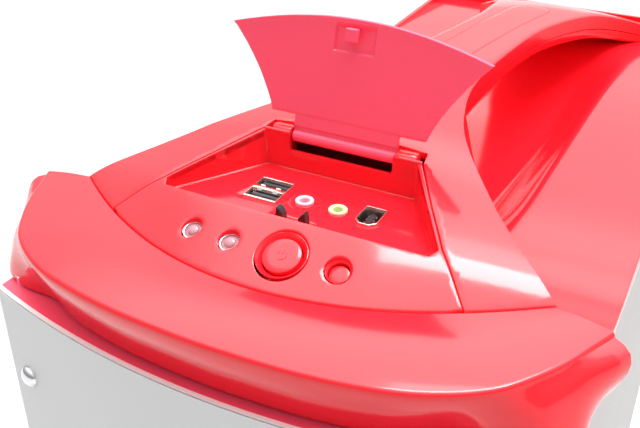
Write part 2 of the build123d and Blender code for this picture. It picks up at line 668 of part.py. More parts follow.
def make_bay_cover(z0, z1):
    """Snap-in cover, hollow at the back."""
    cover = block((-COVER_X, COVER_X), COVER_Y, (z0, z1))
    return cover - block((-COVER_X + 2, COVER_X - 2), (COVER_Y[0] + 2, -50), (z0 + 2, z1 - 2))


def make_bay_covers():
    """Covers of the wide bays."""
    tops = [BAY_Z1 - BAY_PITCH * step - 0.4 for step in range(BAY_COUNT)]
    return [make_bay_cover(z1 - BAY_PITCH + 0.8, z1) for z1 in tops]


def make_small_bay_cover():
    """Cover of the narrow bay below the wide ones."""
    return make_bay_cover(BAY_Z0 + 0.8, BAY_Z0 + 27.2)


def make_intake_grille():
    """Slatted grille in front of the intake fan."""
    z0, z1 = GROUND + 42.0, BAY_Z0 - 1.0
    frame = block((-74.5, 74.5), (-61.0, -57.5), (z0, z1)) - block((-70, 70), (-70, -50), (z0 + 4, z1 - 4))
    count = 11
    pitch = (z1 - z0 - 8) / count
    for step in range(1, count):
        z = z0 + 4 + pitch * step
        frame += block((-70.2, 70.2), (-60.5, -58.5), (z - 1.5, z + 1.5))
    return frame


def make_board_tray():
    """Upright sheet that takes the main board, with the board's nine hole positions."""
    depth = (REAR_Y - SHEET - 2 - BOARD_DEPTH - 20, REAR_Y - SHEET - 2)
    low, high = BASE_Z + 5, TOP_Z - 14
    tray = block((TRAY_X, TRAY_X + SHEET), depth, (low, high))
    for z in (low, high - SHEET):
        tray += block((TRAY_X, HALF_IN - SHEET), depth, (z, z + SHEET))
    for dy in BOARD_HOLES_Y:
        for dz in BOARD_HOLES_Z:
            tray -= rod((TRAY_X, REAR_Y - SHEET - dy, BOARD_BOTTOM + BOARD_HEIGHT - dz), BOARD_HOLE_R, 6, "X")
    return tray


def make_io_shield():
    """Thin plate in the connector aperture."""
    x, z = (IO_X[0] + 0.2, IO_X[1] - 0.2), (IO_Z[0] + 0.2, IO_Z[1] - 0.2)
    shield = block(x, (REAR_Y - 0.8, REAR_Y + 0.2), z)
    windows = ((6, 14, 6, 40), (24, 12, 6, 38), (40, 32, 6, 18), (76, 14, 8, 38), (94, 14, 8, 38))
    for top, height, x0, x1 in windows:
        shield -= block((x[0] + x0, x[0] + x1), (380, 395), (z[1] - top - height, z[1] - top))
    for step in range(3):
        shield -= rod((x[0] + 12 + 11 * step, REAR_Y, z[1] - 122), 3.2, 8, "Y")
        shield -= rod((x[0] + 12 + 11 * step, REAR_Y, z[1] - 136), 3.2, 8, "Y")
    return shield


def make_slot_covers():
    """Blanking plates of the expansion slots."""
    x, y = (BOARD_X - 104, BOARD_X + 7), (REAR_Y - SHEET - 0.9, REAR_Y - SHEET)
    return [block(x, y, (z - 9.0, z + 9.0)) for z in SLOT_Z]


def make_fan_frame(centre, y0):
    """Square frame of an axial fan, with its hub plate and struts."""
    x, z = centre
    half = FAN_FRAME / 2
    frame = block((x - half, x + half), (y0, y0 + FAN_T), (z - half, z + half))
    frame -= rod((x, y0 + FAN_T / 2, z), FAN_BORE_R, 40, "Y")
    frame += rod((x, y0 + 1.5, z), 20, 3, "Y")
    for angle in (45, 135, 225, 315):
        strut = block((18, 59), (y0, y0 + 3), (-2, 2))
        frame += Pos(x, 0, z) * (Rot(0, angle, 0) * strut)
    frame += rod((x, y0 + 8, z), 2.0, 12, "Y")
    for hole in fan_holes(centre, y0 + FAN_T / 2, 40):
        frame -= hole
    return frame


def make_fan_rotor(centre, y0):
    """Hub and seven pitched blades."""
    x, z = centre
    hub = rod((0, y0 + 13.5, 0), 19, 20, "Y") - rod((0, y0 + 8, 0), 2.06, 13, "Y")
    rotor = hub
    for step in range(7):
        blade = Pos(37, y0 + 13.5, 0) * (Rot(32, 0, 0) * Box(38, 1.6, 24))
        rotor += Rot(0, step * 360 / 7, 0) * (blade & rod((0, y0 + 13.5, 0), 56, 19, "Y"))
    return Pos(x, 0, z) * rotor


def make_psu():
    """Power supply's steel box, with its fan opening and inlet."""
    y0, y1 = PSU_BACK - PSU_DEPTH, PSU_BACK
    box = block(PSU_X, (y0, y1), PSU_Z)
    box -= block((PSU_X[0] + 1, PSU_X[1] - 1), (y0 + 1, y1 - 1), (PSU_Z[0] + 1, PSU_Z[1] - 1))
    box -= rod((PSU_FAN_X, y1, PSU_MID_Z), 36, 10, "Y")
    return box - block((PSU_X[1] - 44, PSU_X[1] - 16), (y1 - 5, y1 + 5), (PSU_MID_Z + 8, PSU_MID_Z + 28))


def make_psu_inlet():
    """Mains inlet with its three blades."""
    x, z = PSU_X[1] - 30, PSU_MID_Z + 18
    body = block((x - 13.8, x + 13.8), (PSU_BACK - 18, PSU_BACK + 0.6), (z - 9.8, z + 9.8))
    body -= block((x - 11.6, x + 11.6), (PSU_BACK - 15, PSU_BACK + 5), (z - 7.6, z + 7.6))
    for dx, dz in ((-7, -2), (0, 2), (7, -2)):
        body += block((x + dx - 1, x + dx + 1), (PSU_BACK - 16, PSU_BACK - 8), (z + dz - 2, z + dz + 2))
    return body


def make_psu_grille():
    """Wire finger guard over the supply's fan."""
    centre = (PSU_FAN_X, PSU_BACK - 1.9, PSU_MID_Z)
    bars = [Pos(*centre) * (Rot(0, angle, 0) * Box(77, 1.4, 1.6)) for angle in (45, 135)]
    guard = bars[0] + bars[1]
    for radius in (10, 18, 26, 34):
        guard += rod(centre, radius + 0.8, 1.6, "Y") - rod(centre, radius - 0.8, 4, "Y")
    return guard


def make_side_panel(side):
    """Sliding side panel with a turned rear edge."""
    x = sorted((side * CASE_HALF, side * (CASE_HALF - SHEET)))
    panel = block(x, (BEZEL_BACK + GAP, REAR_Y + 1.3), (BASE_Z + 2, PANEL_TOP - GAP))
    lip_x = sorted((side * CASE_HALF, side * (THUMB_X - 7)))
    lip = block(lip_x, (REAR_Y + 0.3, REAR_Y + 1.3), (BASE_Z + 4, PANEL_TOP - 4))
    for z in THUMB_Z:
        lip -= rod((side * THUMB_X, REAR_Y, z), 2.0, 8, "Y")
    return panel + lip


def make_thumb_screws(side):
    """Captive thumb screws of a side panel."""
    screws = []
    for z in THUMB_Z:
        head = rod((side * THUMB_X, REAR_Y + 1.3 + 4.0, z), 5.5, 8.0, "Y")
        head -= rod((side * THUMB_X, REAR_Y + 9.3, z), 3.0, 2.0, "Y")
        shank = rod((side * THUMB_X, REAR_Y - 1.0, z), 1.7, 6.0, "Y")
        screws.append(head + shank)
    return screws


def make_feet():
    """Moulded feet."""
    feet = []
    for x, y in FEET:
        foot = Pos(x, y, GROUND + 9) * Cone(20, 17, 14) + rod((x, y, BASE_Z + 1.0), 2.0, 4.0)
        feet.append(foot)
    return feet


def make_foot_pads():
    """Rubber pads under the feet."""
    return [rod((x, y, GROUND + 1.0), 16, 2.0) for x, y in FEET]


def make_bezel_posts():
    """Steel spacers that carry the bezel on the front sheet."""
    posts = []
    for side in (-1, 1):
        for z in (GROUND + 60, -100):
            posts.append(block(sorted((side * 90, side * 98)), (-59.4, FRONT_Y - 0.05), (z, z + 12)))
    return posts


def main():
    """Write every node."""
    save(make_console(), "io_console")
    save(make_lid(), "io_lid")
    save(make_lid_strike(), "lid_strike")
    save(rod((0, HINGE_Y, HINGE_Z), HINGE_PIN_R, 56, "X"), "lid_hinge_pin")
    save(make_latch_housing(), "latch_housing")
    save(make_jaw(-1), "latch_jaw_left")
    save(make_jaw(1), "latch_jaw_right")
    save(make_power_ring(), "power_ring")
    save(make_button("power", POWER_R, -0.2), "power_button")
    save(make_button("reset", RESET_R - 0.9, -2.6), "reset_button")
    save(make_reset_sleeve(), "reset_sleeve")
    save(make_button_switches(), "button_switches")
    save(make_led_lenses(), "led_lenses")
    save(make_button_board(), "button_board")
    save(make_usb_shell(), "usb_shell")
    save(make_usb_tongues(), "usb_tongues")
    save(make_jack(JACKS[0]), "microphone_jack")
    save(make_jack(JACKS[1]), "headphone_jack")
    save(make_six_shell(), "six_pin_shell")
    save(make_six_insulator(), "six_pin_insulator")
    save(make_io_board(), "io_board")
    save(make_io_screws(), "io_board_screws")
    save(make_bezel(), "front_bezel")
    save(make_door_frame(), "door_frame")
    save(make_door_plate(), "door_plate")
    save(make_door_screws(), "door_screws")
    save(make_door_pins(), "door_pins")
    save(make_top_cover(), "top_cover")
    save(make_handle_lower(), "handle_lower_shell")
    save(make_handle_pad(), "handle_pad")
    save(make_base_pan(), "base_pan")
    save(make_top_sheet(), "top_sheet")
    save(make_rear_panel(), "rear_panel")
    save(make_front_sheet(), "front_sheet")
    save(make_optical_cage(), "optical_bay_cage")
    save(make_drive_cage(), "hard_drive_cage")
    save(make_bay_covers(), "bay_covers")
    save(make_small_bay_cover(), "small_bay_cover")
    save(make_intake_grille(), "intake_grille")
    save(make_board_tray(), "board_tray")
    save(make_io_shield(), "io_shield")
    save(make_slot_covers(), "slot_covers")
    save(make_fan_frame(REAR_FAN, REAR_Y - SHEET - FAN_T), "rear_fan_frame")
    save(make_fan_rotor(REAR_FAN, REAR_Y - SHEET - FAN_T), "rear_fan_rotor")
    save(make_fan_frame(FRONT_FAN, FRONT_Y + SHEET), "front_fan_frame")
    save(make_fan_rotor(FRONT_FAN, FRONT_Y + SHEET), "front_fan_rotor")
    save(make_psu(), "power_supply")
    save(make_psu_inlet(), "power_inlet")
    save(make_psu_grille(), "supply_fan_guard")
    for side, word in ((-1, "left"), (1, "right")):
        save(make_side_panel(side), f"side_panel_{word}")
        save(make_thumb_screws(side), f"thumb_screws_{word}")
    save(make_feet(), "feet")
    save(make_foot_pads(), "foot_pads")
    save(make_bezel_posts(), "bezel_posts")


main()
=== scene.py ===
"""Looks of the desktop tower case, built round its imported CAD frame.

Shapes are drawn in millimetres from the tray datum: x = 0 on the plane of symmetry,
y = 0 at the port tray's rear wall (+y to the back), z = 0 at the tray's floor.
"""
import json
import math

import bmesh
import bpy
import numpy as np
from mathutils import Matrix, Vector
from mathutils.geometry import delaunay_2d_cdt

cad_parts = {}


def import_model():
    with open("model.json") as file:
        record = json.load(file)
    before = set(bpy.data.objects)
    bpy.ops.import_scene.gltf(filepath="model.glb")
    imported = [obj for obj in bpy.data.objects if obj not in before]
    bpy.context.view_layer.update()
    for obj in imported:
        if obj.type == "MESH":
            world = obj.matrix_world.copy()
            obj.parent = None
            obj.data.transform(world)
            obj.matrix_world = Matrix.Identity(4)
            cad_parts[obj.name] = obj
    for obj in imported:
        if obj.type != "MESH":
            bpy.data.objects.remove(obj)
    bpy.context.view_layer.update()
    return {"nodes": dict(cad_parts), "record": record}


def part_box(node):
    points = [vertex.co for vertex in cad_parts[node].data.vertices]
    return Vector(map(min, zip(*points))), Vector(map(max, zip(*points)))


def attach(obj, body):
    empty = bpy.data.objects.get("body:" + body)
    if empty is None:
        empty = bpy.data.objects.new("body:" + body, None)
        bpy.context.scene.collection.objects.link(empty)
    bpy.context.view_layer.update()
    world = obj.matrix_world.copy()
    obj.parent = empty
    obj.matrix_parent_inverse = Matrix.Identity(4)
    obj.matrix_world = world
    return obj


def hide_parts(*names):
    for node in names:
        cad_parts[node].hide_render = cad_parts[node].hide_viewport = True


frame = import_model()

MM = 0.001
PIN = np.array([0.0, 4.0, 12.0])          # hinge axis, from the tray datum
pin_low, pin_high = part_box("lid_hinge_pin")
ORIGIN = np.array((pin_low + pin_high) / 2) / MM - PIN

# ------------------------------------------------------------------ mesh helpers


def world(points):
    """Millimetres from the tray datum to metres in the row frame."""
    return (np.asarray(points, float) + ORIGIN) * MM


def curve(xs, ys):
    """Smooth curve through points, flat at both ends."""
    xs, ys = np.array(xs, float), np.array(ys, float)
    slopes = np.gradient(ys, xs)

    def value(x):
        x = np.clip(x, xs[0], xs[-1])
        i = np.clip(np.searchsorted(xs, x) - 1, 0, len(xs) - 2)
        h = xs[i + 1] - xs[i]
        t = (x - xs[i]) / h
        return ((2 * t ** 3 - 3 * t ** 2 + 1) * ys[i] + (t ** 3 - 2 * t ** 2 + t) * h * slopes[i]
                + (3 * t ** 2 - 2 * t ** 3) * ys[i + 1] + (t ** 3 - t ** 2) * h * slopes[i + 1])

    return value


def ease(low, high, x):
    """0 below low, 1 above high, smooth between."""
    t = np.clip((np.asarray(x, float) - low) / (high - low), 0, 1)
    return t * t * (3 - 2 * t)


def softplus(x, width):
    """Smooth corner: 0 for negative x, x for positive x."""
    return width * np.logaddexp(0, np.asarray(x, float) / width)


def build(name, parts, body, material, replaced=(), sharp=32.0):
    """One object from (points, faces) parts, riding on a body."""
    points, faces, count = [], [], 0
    for part_points, part_faces in parts:
        points.append(world(part_points))
        faces += [tuple(int(i) + count for i in face) for face in part_faces]
        count += len(part_points)
    mesh = bpy.data.meshes.new(name)
    mesh.from_pydata(np.concatenate(points).tolist(), [], faces)
    bm = bmesh.new()
    bm.from_mesh(mesh)
    bmesh.ops.recalc_face_normals(bm, faces=bm.faces)
    limit = math.radians(sharp)
    for edge in bm.edges:
        if len(edge.link_faces) == 2 and edge.calc_face_angle(0) > limit:
            edge.smooth = False
    for face in bm.faces:
        face.smooth = True
    bm.to_mesh(mesh)
    bm.free()
    mesh.validate()
    mesh.materials.append(material)
    obj = bpy.data.objects.new(name, mesh)
    bpy.context.scene.collection.objects.link(obj)
    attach(obj, body)
    if replaced:
        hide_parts(*replaced)
    return obj


def lattice(rows, around=False, capped=False):
    """Faces over rows of points. around closes each row on itself, capped fills the two end rows."""
    rows = [np.asarray(row, float) for row in rows]
    width = len(rows[0])
    faces = []
    for i in range(len(rows) - 1):
        for j in range(width if around else width - 1):
            k = (j + 1) % width
            faces.append((i * width + j, i * width + k, (i + 1) * width + k, (i + 1) * width + j))
    if capped:
        faces.append(tuple(range(width)))
        faces.append(tuple((len(rows) - 1) * width + j for j in reversed(range(width))))
    return np.concatenate(rows), faces


def sheet(rows, thickness):
    """Closed plate under a lattice of points, its underside moved by a vector."""
    rows = np.asarray(rows, float)
    height, width = rows.shape[:2]
    top, faces = lattice(list(rows))
    low = top + np.asarray(thickness, float)
    count = len(top)
    faces = faces + [tuple(i + count for i in reversed(face)) for face in faces]
    rim = list(range(width))
    rim += [i * width + width - 1 for i in range(1, height)]
    rim += [(height - 1) * width + j for j in reversed(range(width - 1))]
    rim += [i * width for i in reversed(range(1, height - 1))]
    for a, b in zip(rim, rim[1:] + rim[:1]):
        faces.append((a, a + count, b + count, b))
    return np.concatenate([top, low]), faces


def resample(points, step, closed=True):
    """Points along an outline no further apart than a step, corners kept."""
    points = [np.asarray(p, float) for p in points]
    ends = points[1:] + points[:1] if closed else points[1:]
    out = []
    for a, b in zip(points, ends):
        count = max(1, int(math.ceil(np.linalg.norm(b - a) / step)))
        out += [a + (b - a) * i / count for i in range(count)]
    if not closed:
        out.append(points[-1])
    return np.array(out)


def turned(loop, anticlockwise):
    """The loop, running the asked way round."""
    x, y = loop[:, 0], loop[:, 1]
    area = np.sum(x * np.roll(y, -1) - np.roll(x, -1) * y)
    return loop if (area > 0) == anticlockwise else loop[::-1]


def inset(loop, amount):
    """The loop moved to its left by an amount."""
    ahead = np.roll(loop, -1, 0) - loop
    ahead /= np.linalg.norm(ahead, axis=1)[:, None]
    behind = np.roll(ahead, 1, 0)
    n1, n2 = np.stack([-behind[:, 1], behind[:, 0]], 1), np.stack([-ahead[:, 1], ahead[:, 0]], 1)
    mitre = (n1 + n2) / np.maximum(1 + np.sum(n1 * n2, 1), 0.35)[:, None]
    return loop + amount * mitre


def distance_to(loops, points):
    """Distance from each point to the nearest of the loops."""
    best = np.full(len(points), 1e9)
    for loop in loops:
        for a, b in zip(loop, np.roll(loop, -1, 0)):
            ab = b - a
            t = np.clip(((points - a) @ ab) / max(ab @ ab, 1e-12), 0, 1)
            best = np.minimum(best, np.linalg.norm(points - a - t[:, None] * ab, axis=1))
    return best


def inside(loops, points):
    """Whether each point is within the first loop and outside the others."""
    crossings = np.zeros(len(points), int)
    x, y = points[:, 0], points[:, 1]
    for loop in loops:
        for (ax, ay), (bx, by) in zip(loop, np.roll(loop, -1, 0)):
            spans = (ay > y) != (by > y)
            if spans.any():
                cut = ax + (y - ay) / (by - ay if by != ay else 1e-12) * (bx - ax)
                crossings += spans & (x < cut)
    return crossings % 2 == 1


def skin(outline, holes, height, thickness, fillet=0.5, step=2.0, seams=(), low=None):
    """Closed shell over a plan region: height(x, y) on top, edges rounded, flat-sided, hollow below."""
    loops = [turned(resample(outline, step), True)]
    loops += [turned(resample(hole, min(step, 1.2)), False) for hole in holes]
    rings = [inset(loop, fillet * share) for loop in loops for share in (0.3, 1.0)]
    x0, y0 = loops[0].min(0)
    x1, y1 = loops[0].max(0)
    gx, gy = np.meshgrid(np.arange(x0 + step / 2, x1, step), np.arange(y0 + step / 2, y1, step))
    grid = np.stack([gx.ravel(), gy.ravel()], 1)
    grid = grid[inside(loops, grid)]
    grid = grid[distance_to(loops, grid) > fillet + 0.45 * step]
    lines = [resample(line, step, closed=False) for line in seams]
    for line in lines:
        apart = np.min(np.linalg.norm(grid[:, None, :] - line[None], axis=2), axis=1)
        grid = grid[apart > 0.45 * step]
    flat, edges = [], []
    for ring in loops + rings:
        start = len(flat)
        flat += [Vector(p) for p in ring]
        edges += [(start + i, start + (i + 1) % len(ring)) for i in range(len(ring))]
    for line in lines:
        start = len(flat)
        flat += [Vector(p) for p in line]
        edges += [(start + i, start + i + 1) for i in range(len(line) - 1)]
    flat += [Vector(p) for p in grid]
    verts, _, tris, *_ = delaunay_2d_cdt(flat, edges, [], 0, 1e-6)
    plan = np.array([tuple(v) for v in verts])
    tris = [tri for tri in tris if len(tri) == 3]
    centres = np.array([plan[list(tri)].mean(0) for tri in tris])
    keep = inside(loops, centres)
    tris = [tri for tri, kept in zip(tris, keep) if kept]
    gap = np.minimum(distance_to(loops, plan), fillet)
    drop = fillet - np.sqrt(np.maximum(fillet ** 2 - (fillet - gap) ** 2, 0))
    top_z = height(plan[:, 0], plan[:, 1])
    low_z = top_z - thickness if low is None else low(plan[:, 0], plan[:, 1])
    top = np.column_stack([plan, top_z - drop])
    under = np.column_stack([plan, low_z])
    count = len(plan)
    used = {}
    for tri in tris:
        for a, b in ((tri[0], tri[1]), (tri[1], tri[2]), (tri[2], tri[0])):
            used[(a, b)] = True
    faces = [tuple(tri) for tri in tris] + [tuple(i + count for i in reversed(tri)) for tri in tris]
    faces += [(b, a, a + count, b + count) for a, b in used if (b, a) not in used]
    points = np.concatenate([top, under])
    live = sorted({i for face in faces for i in face})
    renumber = {old: new for new, old in enumerate(live)}
    return points[live], [tuple(renumber[i] for i in face) for face in faces]


def lathe(profile, centre, axis=(0, 0, 1), turns=48):
    """Solid of revolution: profile of (radius, height) pairs from the axis to the axis, about an axis."""
    axis = Vector(axis).normalized()
    spin = axis.to_track_quat("Z", "Y").to_matrix()
    rows = []
    for radius, height in profile:
        ring = [spin @ Vector((radius * math.cos(a), radius * math.sin(a), height))
                for a in np.linspace(0, 2 * math.pi, turns, endpoint=False)]
        rows.append(np.array([tuple(p) for p in ring]) + np.asarray(centre, float))
    points, faces = lattice(rows, around=True)
    if profile[0][0] < 1e-6 and profile[-1][0] < 1e-6:
        merged = [rows[0][0]] + [p for row in rows[1:-1] for p in row] + [rows[-1][0]]
        last = len(merged) - 1
        faces = [(0, 1 + (j + 1) % turns, 1 + j) for j in range(turns)]
        for i in range(len(rows) - 3):
            base = 1 + i * turns
            faces += [(base + j, base + (j + 1) % turns, base + turns + (j + 1) % turns, base + turns + j)
                      for j in range(turns)]
        base = 1 + (len(rows) - 3) * turns
        faces += [(base + j, base + (j + 1) % turns, last) for j in range(turns)]
        return np.array(merged), faces
    joined = [((len(rows) - 1) * turns + j, (len(rows) - 1) * turns + (j + 1) % turns,
               (j + 1) % turns, j) for j in range(turns)]
    return points, faces + joined


def prism(outline, low, high, bevel=0.3):
    """Plan outline raised between two heights, its upper edge bevelled."""
    loop = turned(np.asarray(outline, float), True)
    inner = inset(loop, bevel)
    rows = [np.column_stack([ring, np.full(len(ring), z)])
            for ring, z in ((loop, low), (loop, high - bevel), (inner, high))]
    return lattice(rows, around=True, capped=True)


def circle(x, y, radius, count=48):
    """Plan points of a circle."""
    return [(x + radius * math.cos(a), y + radius * math.sin(a))
            for a in np.linspace(0, 2 * math.pi, count, endpoint=False)]


def rounded(points, radius, count=6):
    """An outline with its corners rounded."""
    points = [np.asarray(p, float) for p in points]
    out = []
    for before, corner, after in zip(points[-1:] + points[:-1], points, points[1:] + points[:1]):
        a, b = before - corner, after - corner
        reach = min(radius, 0.45 * np.linalg.norm(a), 0.45 * np.linalg.norm(b))
        start, end = corner + a / np.linalg.norm(a) * reach, corner + b / np.linalg.norm(b) * reach
        for t in np.linspace(0, 1, count):
            out.append((1 - t) ** 2 * start + 2 * t * (1 - t) * corner + t ** 2 * end)
    return out


def box_loop(x0, x1, y0, y1, radius=0.3, count=4):
    """Plan of a rectangle with small round corners."""
    return rounded([(x0, y0), (x1, y0), (x1, y1), (x0, y1)], radius, count)


def both(points):
    """A half outline made whole: the points, then their mirror images in reverse order."""
    return list(points) + [(-x, y) for x, y in reversed(points) if x > 1e-6]


# ------------------------------------------------------------------ materials


def material(name, colour, rough, metal=0.0, coat=0.0, grain=0.0, grain_size=300.0, mottle=0.05, clear=0.0):
    """Procedural finish: colour with a little mottle, roughness with variation, and a fine bump."""
    mat = bpy.data.materials.new(name)
    mat.use_nodes = True
    nodes, links = mat.node_tree.nodes, mat.node_tree.links
    shader = nodes["Principled BSDF"]
    shader.inputs["Metallic"].default_value = metal
    shader.inputs["IOR"].default_value = 1.5
    shader.inputs["Transmission Weight"].default_value = clear
    shader.inputs["Coat Weight"].default_value = coat
    shader.inputs["Coat Roughness"].default_value = 0.04
    place = nodes.new("ShaderNodeTexCoord")
    broad = nodes.new("ShaderNodeTexNoise")
    broad.inputs["Scale"].default_value = 14.0
    broad.inputs["Detail"].default_value = 3.0
    links.new(place.outputs["Object"], broad.inputs["Vector"])
    ramp = nodes.new("ShaderNodeValToRGB")
    dark = [c * (1 - mottle) for c in colour]
    light = [min(1.0, c * (1 + mottle)) for c in colour]
    ramp.color_ramp.elements[0].position, ramp.color_ramp.elements[1].position = 0.3, 0.7
    ramp.color_ramp.elements[0].color = (*dark, 1)
    ramp.color_ramp.elements[1].color = (*light, 1)
    links.new(broad.outputs["Fac"], ramp.inputs["Fac"])
    links.new(ramp.outputs["Color"], shader.inputs["Base Color"])
    spread = nodes.new("ShaderNodeMapRange")
    spread.inputs["To Min"].default_value = rough * 0.85
    spread.inputs["To Max"].default_value = rough * 1.15
    links.new(broad.outputs["Fac"], spread.inputs["Value"])
    links.new(spread.outputs["Result"], shader.inputs["Roughness"])
    if grain:
        fine = nodes.new("ShaderNodeTexNoise")
        fine.inputs["Scale"].default_value = grain_size
        fine.inputs["Detail"].default_value = 2.0
        links.new(place.outputs["Object"], fine.inputs["Vector"])
        bump = nodes.new("ShaderNodeBump")
        bump.inputs["Strength"].default_value = grain
        bump.inputs["Distance"].default_value = 0.0002
        links.new(fine.outputs["Fac"], bump.inputs["Height"])
        links.new(bump.outputs["Normal"], shader.inputs["Normal"])
    return mat


RED = material("red_gloss", (0.88, 0.013, 0.025), 0.13, coat=0.2, grain=0.03, grain_size=350, mottle=0.02)
PINK = material("red_inner", (0.95, 0.09, 0.17), 0.3, grain=0.05, grain_size=500, mottle=0.03)
# Near white for the door plate's top edge: a painted highlight of the light that face catches from above.
PLATE_EDGE_HIGHLIGHT = material("plate_edge_highlight", (0.95, 0.95, 0.95), 0.3, grain=0.03, mottle=0.01)
PLATE = material("plate_metal", (0.66, 0.66, 0.665), 0.4, metal=0.25, grain=0.05, grain_size=700, mottle=0.02)
CHROME = material("chrome", (0.85, 0.85, 0.87), 0.08, metal=1.0, mottle=0.02)
PORT = material("port_metal", (0.72, 0.68, 0.64), 0.22, metal=1.0, grain=0.05, grain_size=900)
STEEL = material("steel", (0.62, 0.63, 0.65), 0.35, metal=1.0, grain=0.06, grain_size=120, mottle=0.08)
PAINT = material("panel_paint", (0.42, 0.40, 0.395), 0.4, metal=0.1, grain=0.08, grain_size=900, mottle=0.02)
BLACK = material("black_plastic", (0.02, 0.02, 0.022), 0.42, grain=0.15, grain_size=900)
GREY = material("grey_plastic", (0.05, 0.05, 0.055), 0.4, grain=0.1, grain_size=700)
JACK_PINK = material("jack_pink", (0.92, 0.55, 0.66), 0.3, grain=0.05)
JACK_GREEN = material("jack_green", (0.72, 0.82, 0.42), 0.3, grain=0.05)
BOARD = material("board_green", (0.03, 0.2, 0.07), 0.35, grain=0.1, grain_size=500)
LENS = material("lens_clear", (0.92, 0.5, 0.56), 0.12, mottle=0.01, clear=0.6)
RUBBER = material("rubber", (0.03, 0.03, 0.03), 0.8, grain=0.3, grain_size=500)
# Dark red that stands for the shade in narrow gaps: painted shade.
SHADOW_RED = material("seam_painted_shade", (0.3, 0.0, 0.01), 0.5, grain=0.05, mottle=0.02)
SLOT_MATERIAL = {"red_gloss": RED, "red_inner": PINK, "plate_metal": PLATE, "chrome": CHROME,
                 "port_metal": PORT, "steel": STEEL, "panel_paint": PAINT, "black_plastic": BLACK,
                 "grey_plastic": GREY, "jack_pink": JACK_PINK, "jack_green": JACK_GREEN,
                 "board_green": BOARD, "lens_clear": LENS, "rubber": RUBBER}
for part in frame["record"]["subparts"]:
    node = frame["nodes"][part["node"]]
    node.data.materials.clear()
    node.data.materials.append(SLOT_MATERIAL[part["material_slot"]])

# ------------------------------------------------------------------ the moulded surface

SEAM_HALF = 64.4         # console's front seam, half width
EAR_SEAM = 88.0          # where the seam meets the flank's crease
SHELL_T = 2.6            # wall of the console and the cover


def seam_y(x):
    """Plan of the seam between the crown and the parts behind it."""
    t = np.asarray(x, float) / 100
    return -67.2 + 46.6 * t ** 2 - 2.3 * t ** 4


def tray_front_y(x):
    """Plan of the tray's front wall, where the surface turns down."""
    return -41.8 + 19.8 * (np.asarray(x, float) / 100) ** 2


spine_z = curve([-100, -60, 0, 15, 35, 60, 100, 136, 162, 188, 222, 252, 289, 326, 360, 388],
                [-3.4, 4.2, 15.5, 16.6, 16.6, 15.5, 12.3, 8.3,
                 5.0, 1.6, -3.6, -8.5, -16.2, -27.0, -39.0, -50.0])
camber = curve([-100, 20, 60, 120, 240, 290, 388], [4.5, 4.5, 6, 8, 8, 5, 3])
SLOPE_CHANGE = 0.277     # extra slope of the button band


def spine(y):
    """Height of the surface on the centre line."""
    return np.where(y < 0, 15.5 + 0.189 * y, spine_z(y))


def plateau(x, y):
    """Height of the console, flanks and handle top."""
    x, y = np.asarray(x, float), np.asarray(y, float)
    band = SLOPE_CHANGE * softplus(tray_front_y(x) - y, 2.2)
    return spine(y) - camber(y) * (x / 50) ** 2 - band


def shifted(base, amount):
    """A height function moved down."""
    return lambda x, y: base(x, y) - amount


# ------------------------------------------------------------------ console

SEAM_GAP = 0.25
TRAY_CORNER = 0.4        # rounding where the tray's walls meet its floor
TRAY_RIM = [(50.8, -33.6), (40.2, -17.0), (29.7, 0.0)]
SIDE_SEAM = [(SEAM_HALF, -47.4), (51.7, -33.1), (41.2, -16.6), (31.0, 0.8)]
POWER, RESET = (6.9, -54.2), (25.8, -52.7)
LEDS = [(-27.9, -52.4), (-12.6, -54.0)]
RING_R, RESET_R, LED_R, JACK_R = 8.7, 4.4, 3.6, 3.45
USB, USB_X, USB_Y = (-18.6, -17.7), 6.65, 7.75
MIC, PHONES = (-3.9, -18.8), (9.1, -19.0)
SIX, SIX_X, SIX_Y = (20.9, -18.2), 4.2, 6.0
LATCH, LATCH_X, LATCH_Y = (-0.6, -33.6), 7.6, 2.6
WINDOW_X, WINDOW_Z = 21.4, 7.2   # gap over the tray's rear wall, under the lid's barrel
BAND_TILT = math.radians(25)
BAND_UP = np.array([0, -math.sin(BAND_TILT), math.cos(BAND_TILT)])


def on_band(point, depth=0.0):
    """Point on the button band, or under it along its normal."""
    x, y = point
    return np.array([x, y, float(plateau(x, y))]) - depth * BAND_UP


def tray_outline():
    """Rim of the tray, its corners rounded."""
    front = [(x, float(tray_front_y(x))) for x in (0, 12, 24, 36, 46)]
    return rounded(both(front + TRAY_RIM), 0.9)


